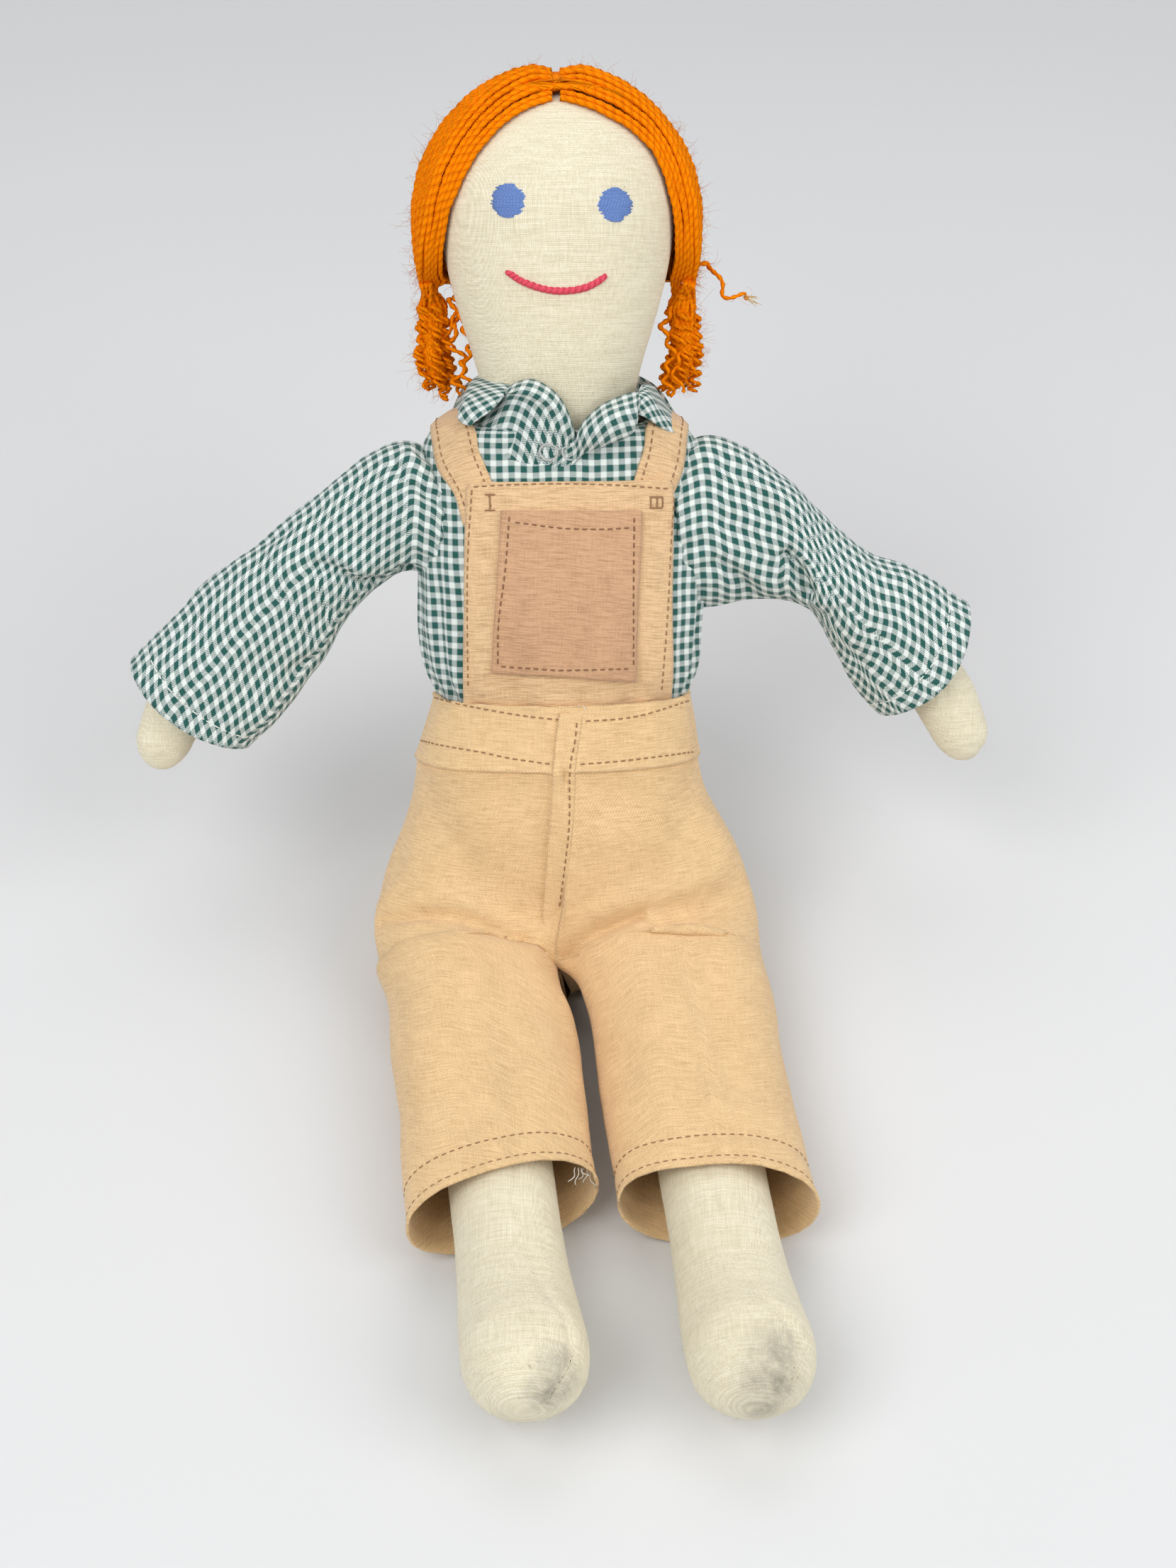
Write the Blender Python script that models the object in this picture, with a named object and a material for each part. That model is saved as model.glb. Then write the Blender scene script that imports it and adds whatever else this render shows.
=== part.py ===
"""Stuffed cloth rag doll in a gingham shirt and bib dungarees, sitting and leaning back.

The doll faces -Y and +X is at the right of a viewer who faces it. The origin is on the floor, below
the hip axis. Everything above the hips is modelled upright and carried by one leaning empty, and
each limb is modelled from its own joint.
"""
import math

import bmesh
import bpy
from mathutils import Matrix, Vector
from mathutils.bvhtree import BVHTree

# Pose
torso_lean = math.radians(30.0)
left_leg_turn = math.radians(6.5)
right_leg_turn = math.radians(5.5)
frame_height = 0.030

# Clearances
sewn_gap = 0.0003
swing_gap = 0.0005
cut_overrun = 0.060

# Stuffed body
body_length = 0.160
body_half_width = 0.044
body_half_depth = 0.029
seat_drop = 0.020

# Head and neck
neck_axis_rise = 0.006
neck_axis_height = body_length + neck_axis_rise
head_length = 0.110
face_half_width = 0.0400
face_half_depth = 0.0310
neck_round = 0.0210
neck_half_width = 0.0255
eye_half_spacing = 0.0168
eye_height = 0.0700
eye_radius = 0.0058
eye_thickness = 0.0008
mouth_half_width = 0.0160
mouth_height = 0.0425
mouth_sag = 0.0065
mouth_radius = 0.0009

# Hair
hair_thickness = 0.0072
hairline_top = 0.0170
hairline_slope = math.radians(20.0)
parting_width = 0.0060
parting_depth = 0.0030
hair_end_height = 0.0440
bunch_length = 0.034
bunch_radius = 0.0065
bunch_offset = 0.0434
bunch_setback = 0.0080
curl_length = 0.022
curl_radius = 0.0021
curl_wave = 0.0022
curl_waves = 2.0

# Shirt
shirt_wall = 0.0012
shirt_ease = 0.0065
shirt_tuck = 0.012
shoulder_fall = 0.0045
shoulder_height = body_length - shoulder_fall
neck_opening_half_width = 0.0305
neck_opening_half_depth = 0.0265
neck_opening_rise = 0.0125
neck_opening_height = shoulder_height + neck_opening_rise
neck_opening_drop = 0.0045
collar_stand = 0.0075
collar_half_width = 0.0440
collar_half_depth = 0.0365
collar_edge_rise = 0.0055
collar_edge_height = neck_opening_height + collar_edge_rise
collar_front_drop = 0.0130
collar_stand_opening = math.radians(7.0)
collar_edge_opening = math.radians(53.0)
collar_thickness = 0.0011
fastener_radius = 0.0030
fastener_wire_radius = 0.0005
fastener_lie = 0.0013

# Arms and sleeves
shoulder_half_spacing = 0.0555
shoulder_axis_fall = 0.0205
shoulder_axis_height = body_length - shoulder_axis_fall
armhole_radius = 0.0172
arm_half_width = 0.0130
arm_half_depth = 0.0130
arm_side_length = 0.0880
arm_drop = 0.0945
sleeve_side_length = 0.0797
sleeve_sink = 0.0679
sleeve_half_depth = 0.0160
sleeve_cuff_half_width = 0.0250
sleeve_wall = 0.0011

# Dungarees
denim_wall = 0.0013
waist_half_width = 0.0482
waist_half_depth = 0.0335
waist_bottom = 0.0535
waist_top = 0.0705
waistband_wall = 0.0017
seat_half_width = 0.0690
seat_half_depth = 0.0330
seat_bottom = 0.0335
seat_back_shift = 0.0070
crotch_forward = 0.0280
hip_crease_back = 0.0230
bib_half_width_top = 0.0360
bib_half_width_bottom = 0.0335
bib_top_fall = 0.0130
bib_top = body_length - bib_top_fall
bib_shift = 0.0045
bib_thickness = 0.0015
bib_lie = 0.0007
pocket_half_width = 0.0235
pocket_bottom_margin = 0.0105
pocket_bottom = waist_top + pocket_bottom_margin
pocket_top_margin = 0.0110
pocket_top = bib_top - pocket_top_margin
pocket_thickness = 0.0011
strap_width = 0.0115
strap_thickness = 0.0014
strap_front_spacing = 0.0275
strap_shoulder_spacing = 0.0378
strap_lie = 0.0007
strap_back_spacing = 0.0200
strap_centre_fall = 0.0455
strap_centre_height = shoulder_height - strap_centre_fall
strap_inner_radius = 0.0105
fly_width = 0.0095
fly_length = 0.0560
fly_thickness = 0.0010

# Legs and trouser legs
hip_axis_height = 0.0220
hip_axis_forward = 0.0040
hip_half_spacing = 0.0350
leg_radius = 0.0175
leg_root_radius = 0.0185
leg_length = 0.1650
leg_fall = 0.0035
foot_rise = 0.0220
foot_length = 0.0360
foot_half_width = 0.0195
foot_half_depth = 0.0185
trouser_half_width = 0.0315
trouser_root_half_height = 0.0215
trouser_hem_half_height = 0.0195
trouser_length = 0.1290
trouser_hem_sink = 0.0025
flexed_leg_angle = math.radians(30.0)
extended_leg_angle = math.radians(50.0)
leg_sweep_gap = 0.0012

# Mesh fineness
body_sides = 26
limb_sides = 18
tip_angle = math.radians(14.0)
heading_step_share = 0.02
section_power_share = 2.25

# Outlines, as (share of the length, share of the width or depth)
body_width_shares = (
    (-0.22, 0.86), (0.05, 0.98), (0.30, 1.0), (0.55, 0.95), (0.80, 0.95), (0.93, 0.97), (1.0, 0.94),
)
body_depth_shares = (
    (-0.22, 0.88), (0.05, 0.96), (0.30, 1.0), (0.55, 0.93), (0.80, 0.80), (0.93, 0.68), (1.0, 0.60),
)
shoulder_round_shares = (0.32, 0.58, 0.79, 0.93, 1.0)
shirt_ease_shares = ((0.36, 0.04), (0.45, 0.12), (0.54, 0.70), (0.68, 1.0), (0.80, 0.80), (1.0, 0.55))
body_base_share = 0.70
head_dome_share = 1.02
head_width_shares = (
    (0.0, 0.64), (0.12, 0.69), (0.30, 0.835), (0.45, 0.94), (0.60, 1.0), (0.76, 1.0), (1.0, 0.97),
)
head_depth_shares = (
    (0.0, 0.68), (0.12, 0.74), (0.30, 0.87), (0.45, 0.95), (0.60, 1.0), (0.76, 1.0), (1.0, 0.97),
)
collar_stand_share = 0.35
collar_fall_share = 1.4
seat_ring_shares = (0.0, 0.07, 0.16, 0.26, 0.36, 0.48, 0.62, 0.76, 0.88, 1.0)
seat_width_shares = ((0.0, 0.78), (0.16, 0.94), (0.34, 1.0), (0.55, 0.90), (0.78, 0.76), (1.0, 0.685))
seat_depth_shares = ((0.0, 0.66), (0.16, 0.86), (0.34, 1.0), (0.55, 1.06), (0.78, 1.04), (1.0, 1.0))
seat_shift_shares = ((0.0, 1.0), (0.34, 0.80), (0.70, 0.15), (1.0, 0.0))
arm_route_shares = ((0.0, 0.0), (0.40, 0.27), (0.78, 0.60), (0.94, 0.83), (1.0, 1.0))
arm_tip_share = 0.75
arm_width_shares = ((0.0, 1.0), (0.30, 0.95), (0.70, 0.86), (0.86, 0.88), (1.0, 0.62))
arm_depth_shares = ((0.0, 1.0), (0.30, 0.88), (0.70, 0.74), (0.86, 0.70), (1.0, 0.50))
sleeve_route_shares = ((0.0, 0.0), (0.42, 0.34), (0.78, 0.70), (1.0, 1.0))
bunch_route_shares = ((0.0, 0.99, 1.0), (0.28, 0.985, 0.95), (0.65, 1.0, 1.0), (1.0, 0.92, 1.3))
bunch_width_shares = ((0.0, 0.80), (0.35, 0.90), (0.65, 1.0), (1.0, 0.92))
bunch_depth_share = 1.15
curl_droop_share = 0.3
curl_wave_shares = ((0.0, 0.0), (0.2, 1.0), (1.0, 1.0))
sleeve_flare_shares = ((0.0, 0.0), (0.10, 0.02), (0.26, 0.34), (0.48, 0.32), (0.75, 0.58), (1.0, 1.0))
sleeve_depth_shares = ((0.0, 1.0), (0.30, 0.95), (0.65, 0.96), (1.0, 1.06))
leg_route_shares = ((0.45, 0.60), (0.80, 1.0), (1.0, 0.80))
foot_route_shares = ((0.62, 0.16), (0.90, 0.62), (1.0, 1.0))
foot_start_share = 0.5
leg_width_shares = ((0.0, 1.02), (0.35, 1.0), (0.70, 0.97), (0.84, 1.0), (1.0, 1.0))


def clear_scene():
    """Start from an empty scene."""
    for item in list(bpy.data.objects):
        bpy.data.objects.remove(item)


def material(name, colour, roughness, metallic=0.0):
    """A plain surface of one colour."""
    shade = bpy.data.materials.new(name)
    shade.use_nodes = True
    shader = shade.node_tree.nodes["Principled BSDF"]
    shader.inputs["Base Color"].default_value = (*colour, 1.0)
    shader.inputs["Roughness"].default_value = roughness
    shader.inputs["Metallic"].default_value = metallic
    return shade


def share_at(shares, place):
    """Read a smooth curve through (place, value) pairs, level past its ends."""
    if place <= shares[0][0]:
        return shares[0][1]
    for index in range(len(shares) - 1):
        start, end = shares[index], shares[index + 1]
        if place > end[0]:
            continue
        before = shares[max(index - 1, 0)]
        after = shares[min(index + 2, len(shares) - 1)]
        span = end[0] - start[0]
        start_slope = (end[1] - before[1]) / (end[0] - before[0])
        end_slope = (after[1] - start[1]) / (after[0] - start[0])
        part = (place - start[0]) / span
        return (
            start[1] * (1 + 2 * part) * (1 - part) ** 2
            + span * start_slope * part * (1 - part) ** 2
            + end[1] * part ** 2 * (3 - 2 * part)
            + span * end_slope * part ** 2 * (part - 1)
        )
    return shares[-1][1]


def spread(first, last, steps):
    """Evenly spaced values from first to last."""
    return [first + (last - first) * index / steps for index in range(steps + 1)]


def outline(half_width, half_depth, sides, power=section_power_share):
    """Points of a rounded outline, from +X towards +Y, as (x, y) pairs."""
    points = []
    for index in range(sides):
        turn = math.tau * (index + 0.5) / sides
        across, along = math.cos(turn), math.sin(turn)
        reach = (abs(across) ** power + abs(along) ** power) ** (-1.0 / power)
        points.append((half_width * reach * across, half_depth * reach * along))
    return points


def add_object(name, bm, shade, parent=None):
    """Turn a bmesh into a named object with faces pointing out."""
    bmesh.ops.recalc_face_normals(bm, faces=bm.faces)
    mesh = bpy.data.meshes.new(name)
    bm.to_mesh(mesh)
    bm.free()
    mesh.shade_smooth()
    mesh.set_sharp_from_angle(angle=math.radians(40.0))
    piece = bpy.data.objects.new(name, mesh)
    bpy.context.collection.objects.link(piece)
    piece.parent = parent
    mesh.materials.append(shade)
    return piece


def add_empty(name, place, turn=(0.0, 0.0, 0.0), parent=None):
    """An empty that carries the pieces of one body."""
    carrier = bpy.data.objects.new(name, None)
    bpy.context.collection.objects.link(carrier)
    carrier.location = place
    carrier.rotation_euler = turn
    carrier.parent = parent
    return carrier


def skin_rings(bm, rings):
    """Join rings of points into one strip of faces and return their vertices."""
    loops = [[bm.verts.new(point) for point in ring] for ring in rings]
    for first, second in zip(loops, loops[1:]):
        for index in range(len(first)):
            following = (index + 1) % len(first)
            bm.faces.new((first[index], first[following], second[following], second[index]))
    return loops


def cap_ring(bm, loop):
    """Close a ring with a fan round its middle."""
    middle = bm.verts.new(sum((vert.co for vert in loop), Vector()) / len(loop))
    for index in range(len(loop)):
        bm.faces.new((loop[index], loop[(index + 1) % len(loop)], middle))


def join_rings(bm, first, second):
    """Bridge two rings of the same count, as at the edge of a hem."""
    for index in range(len(first)):
        following = (index + 1) % len(first)
        bm.faces.new((first[index], first[following], second[following], second[index]))


def solid_mesh(rings):
    """A closed stuffed form through rings."""
    bm = bmesh.new()
    loops = skin_rings(bm, rings)
    cap_ring(bm, loops[0])
    cap_ring(bm, loops[-1])
    return bm


def shell_mesh(outer, inner, closed_start=False):
    """A cloth tube between two sets of rings, with its first end open or closed."""
    bm = bmesh.new()
    outer_loops = skin_rings(bm, outer)
    inner_loops = skin_rings(bm, inner)
    join_rings(bm, outer_loops[-1], inner_loops[-1])
    if closed_start:
        cap_ring(bm, outer_loops[0])
        cap_ring(bm, inner_loops[0])
    else:
        join_rings(bm, outer_loops[0], inner_loops[0])
    return bm


def upright_ring(half_width, half_depth, height, sides=body_sides, shift=0.0, tilt=0.0):
    """A level ring of a form that stands on +Z, moved back by shift, sloped up to the back by tilt."""
    return [
        Vector((x, y + shift, height + tilt * y))
        for x, y in outline(half_width, half_depth, sides)
    ]


def route_ring(centre, heading, side_axis, half_width, half_depth, sides=limb_sides):
    """A ring square to a route, its width along side_axis."""
    heading = heading.normalized()
    side = (side_axis - heading * side_axis.dot(heading)).normalized()
    rise = heading.cross(side)
    return [centre + side * x + rise * y for x, y in outline(half_width, half_depth, sides)]


def route_through(points):
    """The length of a smooth curve through points, and how to read its place and heading."""
    lengths = [0.0]
    for first, second in zip(points, points[1:]):
        lengths.append(lengths[-1] + (second - first).length)
    curves = [[(at, point[axis]) for at, point in zip(lengths, points)] for axis in range(3)]
    length = lengths[-1]

    def place_at(at):
        return Vector([share_at(curve, at) for curve in curves])

    def read(at):
        behind = max(at - length * heading_step_share, 0.0)
        ahead = min(at + length * heading_step_share, length)
        return place_at(at), place_at(ahead) - place_at(behind)

    return length, read


def ring_places(length, start_radius, end_radius, steps):
    """Places for rings along a form, closer together on its round ends."""
    angles = spread(tip_angle, math.pi / 2, 4)
    start = [start_radius * (1.0 - math.cos(angle)) for angle in angles]
    end = [length - end_radius * (1.0 - math.cos(angle)) for angle in reversed(angles)]
    middle = spread(start_radius, length - end_radius, steps)[1:-1]
    if not end_radius:
        end = [length]
    return start + middle + end


def round_share(distance, radius):
    """How full a rounded end is at a distance from its tip."""
    if distance >= radius:
        return 1.0
    return math.sqrt(max(1.0 - (1.0 - distance / radius) ** 2, 0.0))


def add_box(name, low, high, parent=None):
    """A wire box between two corners, for cutting."""
    low, high = Vector(low), Vector(high)
    bm = bmesh.new()
    place = Matrix.Translation((low + high) / 2) @ Matrix.Diagonal((*(high - low), 1.0))
    bmesh.ops.create_cube(bm, size=1.0, matrix=place)
    return as_cutter(name, bm, parent)


def as_cutter(name, bm, parent=None):
    """An object that only cuts others."""
    cutter = add_object(name, bm, material(name, (0.5, 0.5, 0.5), 0.5), parent)
    cutter.hide_render = True
    cutter.display_type = "WIRE"
    return cutter


def prism_cutter(name, corners, half_length, parent=None):
    """A wire prism along X with its outline given in (y, z)."""
    bm = bmesh.new()
    rings = [[Vector((side, y, z)) for y, z in corners] for side in (-half_length, half_length)]
    loops = skin_rings(bm, rings)
    bm.faces.new(loops[0])
    bm.faces.new(loops[1])
    return as_cutter(name, bm, parent)


def cut(piece, cutter, operation="DIFFERENCE"):
    """Cut one piece by another."""
    boolean = piece.modifiers.new(cutter.name, "BOOLEAN")
    boolean.operation = operation
    boolean.object = cutter
    boolean.solver = "EXACT"


def body_ring(height, ease=0.0, sides=body_sides):
    """A ring of the stuffed body at a height, let out by some ease."""
    share = height / body_length
    half_width = body_half_width * share_at(body_width_shares, share) + ease
    half_depth = body_half_depth * share_at(body_depth_shares, share) + ease
    return upright_ring(half_width, half_depth, height, sides)


def shirt_rings(inward):
    """Rings of the shirt's outside, or of its inside when moved inward by the wall."""
    rings = []
    low = waist_top - shirt_tuck
    for height in spread(low, shoulder_height, 8):
        ease = shirt_ease * share_at(shirt_ease_shares, height / body_length) + shirt_wall
        rings.append(body_ring(height, ease - inward))
    last = rings[-1]
    for share in shoulder_round_shares:
        tilt = neck_opening_drop / neck_opening_half_depth * share
        height = shoulder_height + (neck_opening_height - shoulder_height) * share
        narrow = 1.0 - math.sqrt(1.0 - share ** 2)
        ring = upright_ring(neck_opening_half_width - inward, neck_opening_half_depth - inward, height)
        rings.append([
            Vector((
                old.x + (new.x - old.x) * narrow,
                old.y + (new.y - old.y) * share,
                height + tilt * new.y - inward * (1.0 - share),
            ))
            for old, new in zip(last, ring)
        ])
    return rings


def surface_of(rings):
    """A closed surface that pieces lying on it are fitted to."""
    bm = solid_mesh(rings)
    bmesh.ops.recalc_face_normals(bm, faces=bm.faces)
    tree = BVHTree.FromBMesh(bm)
    bm.free()
    return tree


def let_out_mesh(rings, lift):
    """A closed form through rings, its faces moved out by lift."""
    bm = solid_mesh(rings)
    bmesh.ops.recalc_face_normals(bm, faces=bm.faces)
    bm.normal_update()
    places = [vert.co + vert.normal * vert.calc_shell_factor() * lift for vert in bm.verts]
    for vert, place in zip(bm.verts, places):
        vert.co = place
    bmesh.ops.triangulate(bm, faces=bm.faces)
    return bm


def lay_cloth(name, rings, lie, thickness, patch, shade, parent):
    """A patch of cloth that lies on a form, where the form and the patch's own solid meet."""
    cloth = add_object(name, let_out_mesh(rings, lie + thickness), shade, parent)
    cut(cloth, as_cutter(name + "_patch", patch, parent), "INTERSECT")
    cut(cloth, as_cutter(name + "_bed", let_out_mesh(rings, lie), parent))
    return cloth


def front_patch(half_width_bottom, half_width_top, bottom, top, shift):
    """A solid that reaches through the front of the doll, its outline an upright patch."""
    corners = (
        (shift - half_width_bottom, bottom), (shift + half_width_bottom, bottom),
        (shift + half_width_top, top), (shift - half_width_top, top),
    )
    bm = bmesh.new()
    loops = skin_rings(bm, [[Vector((x, y, z)) for x, z in corners] for y in (-2 * cut_overrun, 0.0)])
    bm.faces.new(loops[0])
    bm.faces.new(loops[1])
    return bm


def make_body(torso, skin):
    """The stuffed body, hollowed where the arms, the legs and the neck turn."""
    rings = [body_ring(height) for height in spread(-seat_drop, body_length, 16)]
    base = Vector((0.0, 0.0, -seat_drop))
    under = [base + (point - base) * body_base_share for point in rings[0]]
    under = [point + Vector((0.0, 0.0, (body_base_share - 1.0) * seat_drop)) for point in under]
    body = add_object("body", solid_mesh([under] + rings), skin, torso)
    cut(body, round_cutter("neck_hollow", "Y", (0.0, 0.0, neck_axis_height), neck_round, torso))
    for side, name in ((-1, "armhole_left"), (1, "armhole_right")):
        place = (side * shoulder_half_spacing, 0.0, shoulder_axis_height)
        cut(body, round_cutter(name, "X", place, armhole_radius, torso))
    cut(body, leg_sweep_cutter())
    cut(body, below_seat_cutter())
    return body


def round_cutter(name, turned_about, place, radius, torso):
    """A round hollow about the axis of a joint, with room to turn in."""
    bm = bmesh.new()
    turn = Matrix.Rotation(math.pi / 2, 4, turned_about)
    bmesh.ops.create_cone(
        bm, cap_ends=True, segments=48, radius1=radius + swing_gap, radius2=radius + swing_gap,
        depth=2 * cut_overrun, matrix=Matrix.Translation(place) @ turn,
    )
    return as_cutter(name, bm, torso)


def leg_sweep_cutter():
    """The room that both trouser legs pass through, from the flexed to the extended leg."""
    reach = trouser_root_half_height + leg_sweep_gap
    corners = []
    start, end = math.pi / 2 + flexed_leg_angle, 1.5 * math.pi - extended_leg_angle
    for angle in spread(start, end, 12):
        corners.append((-reach * math.cos(angle), reach * math.sin(angle)))
    far = cut_overrun + reach
    low_end = Vector((math.cos(-extended_leg_angle), math.sin(-extended_leg_angle))) * far
    high_end = Vector((math.cos(flexed_leg_angle), math.sin(flexed_leg_angle))) * far
    corners.append((corners[-1][0] - low_end.x, corners[-1][1] + low_end.y))
    corners.append((corners[0][0] - high_end.x, corners[0][1] + high_end.y))
    cutter = prism_cutter("leg_sweep", corners, seat_half_width)
    cutter.location = (0.0, -hip_axis_forward, hip_axis_height)
    return cutter


def below_seat_cutter():
    """Everything below the cloth that the doll sits on."""
    low = (-cut_overrun * 2, -cut_overrun * 2, -cut_overrun)
    return add_box("below_seat_cloth", low, (cut_overrun * 2, cut_overrun * 2, denim_wall + sewn_gap))


def floor_cutter():
    """Everything that soft pieces press flat against the floor."""
    low = (-cut_overrun * 3, -cut_overrun * 5, -cut_overrun)
    return add_box("floor", low, (cut_overrun * 3, cut_overrun * 3, 0.0))


def head_rings(extra=0.0):
    """Rings of the head, let out by extra all round, from the neck's round end up."""
    rings = []
    for angle in spread(math.radians(10.0), math.radians(78.0), 4):
        height = -(neck_round + extra) * math.cos(angle)
        depth = (neck_round + extra) * math.sin(angle)
        rings.append(upright_ring(neck_half_width + extra, depth, height))
    top = head_length + extra
    dome = face_half_width * head_dome_share
    for share in spread(0.0, 1.0, 9):
        height = (top - dome) * share
        rings.append(head_ring(height, extra, 1.0))
    for angle in spread(math.radians(14.0), math.radians(84.0), 6):
        height = top - dome + dome * math.sin(angle)
        rings.append(head_ring(height, extra, math.cos(angle)))
    return rings


def head_ring(height, extra, fullness):
    """One ring of the head above the neck's axis."""
    share = height / head_length
    half_width = face_half_width * share_at(head_width_shares, share) + extra
    half_depth = face_half_depth * share_at(head_depth_shares, share) + extra
    return upright_ring(half_width * fullness, half_depth * fullness, height)


def make_head(neck, skin):
    """The stuffed head and neck, one piece of cloth."""
    return add_object("head", solid_mesh(head_rings()), skin, neck)


def make_eyes(neck, thread):
    """Two round patches of satin stitch."""
    surface = surface_of(head_rings())
    for side, name in ((-1, "eye_left"), (1, "eye_right")):
        bm = bmesh.new()
        low = eye_layer(bm, surface, side, sewn_gap)
        high = eye_layer(bm, surface, side, sewn_gap + eye_thickness)
        join_rings(bm, low, high)
        add_object(name, bm, thread, neck)


def eye_layer(bm, surface, side, lift):
    """One face of an eye, lifted off the cloth, and its outer ring."""
    loops = []
    for radius in (eye_radius / 2, eye_radius):
        loop = []
        for index in range(18):
            turn = math.tau * index / 18
            place = on_face(surface, side * eye_half_spacing + radius * math.cos(turn),
                            eye_height + radius * math.sin(turn), lift)
            loop.append(bm.verts.new(place))
        loops.append(loop)
    join_rings(bm, loops[0], loops[1])
    middle = bm.verts.new(on_face(surface, side * eye_half_spacing, eye_height, lift))
    for index in range(18):
        bm.faces.new((loops[0][index], loops[0][(index + 1) % 18], middle))
    return loops[1]


def on_face(surface, x, z, lift):
    """A point lifted off the front of a surface."""
    place, normal, _, _ = surface.ray_cast(Vector((x, -cut_overrun, z)), Vector((0.0, 1.0, 0.0)))
    return place + normal * lift


def make_mouth(neck, thread):
    """A smile of stitches, a low arc on the face."""
    surface = surface_of(head_rings())
    points = []
    for share in spread(-1.0, 1.0, 10):
        x = mouth_half_width * share
        z = mouth_height + mouth_sag * share ** 2
        points.append(on_face(surface, x, z, mouth_radius + sewn_gap))
    rings = []
    for index, point in enumerate(points):
        heading = points[min(index + 1, 10)] - points[max(index - 1, 0)]
        rings.append(route_ring(point, heading, Vector((0.0, 1.0, 0.0)), mouth_radius, mouth_radius, 8))
    add_object("mouth", solid_mesh(rings), thread, neck)


def make_hair(neck, yarn):
    """The yarn over the crown, the sides and the back of the head, parted in the middle."""
    hair = add_object("hair", solid_mesh(head_rings(hair_thickness)), yarn, neck)
    cut(hair, as_cutter("head_room", solid_mesh(head_rings(sewn_gap)), neck))
    reach = 3 * cut_overrun
    face = add_box("face_room", (-reach, -reach, -reach), (reach, 0.0, reach), neck)
    face.location = (0.0, -hairline_top, head_length - hair_thickness)
    face.rotation_euler = (hairline_slope, 0.0, 0.0)
    cut(hair, face)
    cut(hair, add_box("nape_room", (-reach, -reach, -reach), (reach, reach, hair_end_height), neck))
    cut(hair, parting_cutter(neck))


def parting_cutter(neck):
    """A groove along the middle of the crown."""
    top = head_length + hair_thickness
    corners = (
        (0.0, top - parting_depth),
        (parting_width, top + parting_depth),
        (-parting_width, top + parting_depth),
    )
    bm = bmesh.new()
    loops = skin_rings(bm, [[Vector((x, y, z)) for x, z in corners] for y in (-cut_overrun, cut_overrun)])
    bm.faces.new(loops[0])
    bm.faces.new(loops[1])
    return as_cutter("parting", bm, neck)


def bunch_point(side, drop_share, offset_share, setback_share):
    """A point of the route of a hair bunch, below the end of the hair."""
    height = hair_end_height - sewn_gap - bunch_length * drop_share
    return Vector((side * bunch_offset * offset_share, bunch_setback * setback_share, height))


def make_bunches(neck, yarn):
    """The gathered ends of the hair at both sides, and one curl that stands away."""
    for side, name in ((-1, "hair_bunch_left"), (1, "hair_bunch_right")):
        length, read = route_through([bunch_point(side, *shares) for shares in bunch_route_shares])
        rings = []
        for at in ring_places(length, bunch_radius / 2, bunch_radius, 5):
            place, heading = read(at)
            radius = bunch_radius * share_at(bunch_width_shares, at / length)
            radius *= round_share(at, bunch_radius / 2) * round_share(length - at, bunch_radius)
            depth = radius * bunch_depth_share
            rings.append(route_ring(place, heading, Vector((1.0, 0.0, 0.0)), radius, depth, 12))
        add_object(name, solid_mesh(rings), yarn, neck)
    make_curl(neck, yarn)


def make_curl(neck, yarn):
    """One crimped strand that stands out from the right bunch."""
    drop_share, offset_share, setback_share = bunch_route_shares[1]
    root = bunch_point(1, drop_share, offset_share, setback_share)
    root.x += bunch_radius * share_at(bunch_width_shares, drop_share) + 2 * swing_gap
    root.x += curl_radius * curl_droop_share
    points = []
    for share in spread(0.0, 1.0, 16):
        wave = curl_wave * share_at(curl_wave_shares, share) * math.sin(share * math.tau * curl_waves)
        droop = curl_length * curl_droop_share * share
        points.append(root + Vector((curl_length * share, wave, -wave - droop)))
    rings = []
    for index, point in enumerate(points):
        heading = points[min(index + 1, 16)] - points[max(index - 1, 0)]
        rings.append(route_ring(point, heading, Vector((0.0, 1.0, 0.0)), curl_radius, curl_radius, 8))
    add_object("hair_curl_right", solid_mesh(rings), yarn, neck)


def make_shirt(torso, gingham):
    """The shirt's body, open at the neck, the waist and the armholes."""
    shirt = add_object("shirt_body", shell_mesh(shirt_rings(0.0), shirt_rings(shirt_wall)), gingham, torso)
    for side in (-1, 1):
        cut(shirt, bpy.data.objects["armhole_left" if side < 0 else "armhole_right"])


def collar_point(share_round, share_across):
    """A point of the collar: along its length round the neck, and from stand to outer edge."""
    opening = collar_stand_opening + (collar_edge_opening - collar_stand_opening) * share_across
    turn = opening + (math.tau - 2 * opening) * share_round
    side, front = math.sin(turn), math.cos(turn)
    base_height = neck_opening_height - neck_opening_drop * front + sewn_gap + collar_thickness
    stand_share = min(share_across / collar_stand_share, 1.0)
    fall_share = max((share_across - collar_stand_share) / (1.0 - collar_stand_share), 0.0)
    fold_height = base_height + collar_stand
    edge_height = collar_edge_height - collar_front_drop * (front + 1.0) / 2
    half_width = neck_opening_half_width + (collar_half_width - neck_opening_half_width) * fall_share
    half_depth = neck_opening_half_depth + (collar_half_depth - neck_opening_half_depth) * fall_share
    rise = base_height + collar_stand * math.sin(stand_share * math.pi / 2)
    drop = (fold_height - edge_height) * fall_share ** collar_fall_share
    return Vector((-half_width * side, -half_depth * front, rise - drop))


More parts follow.
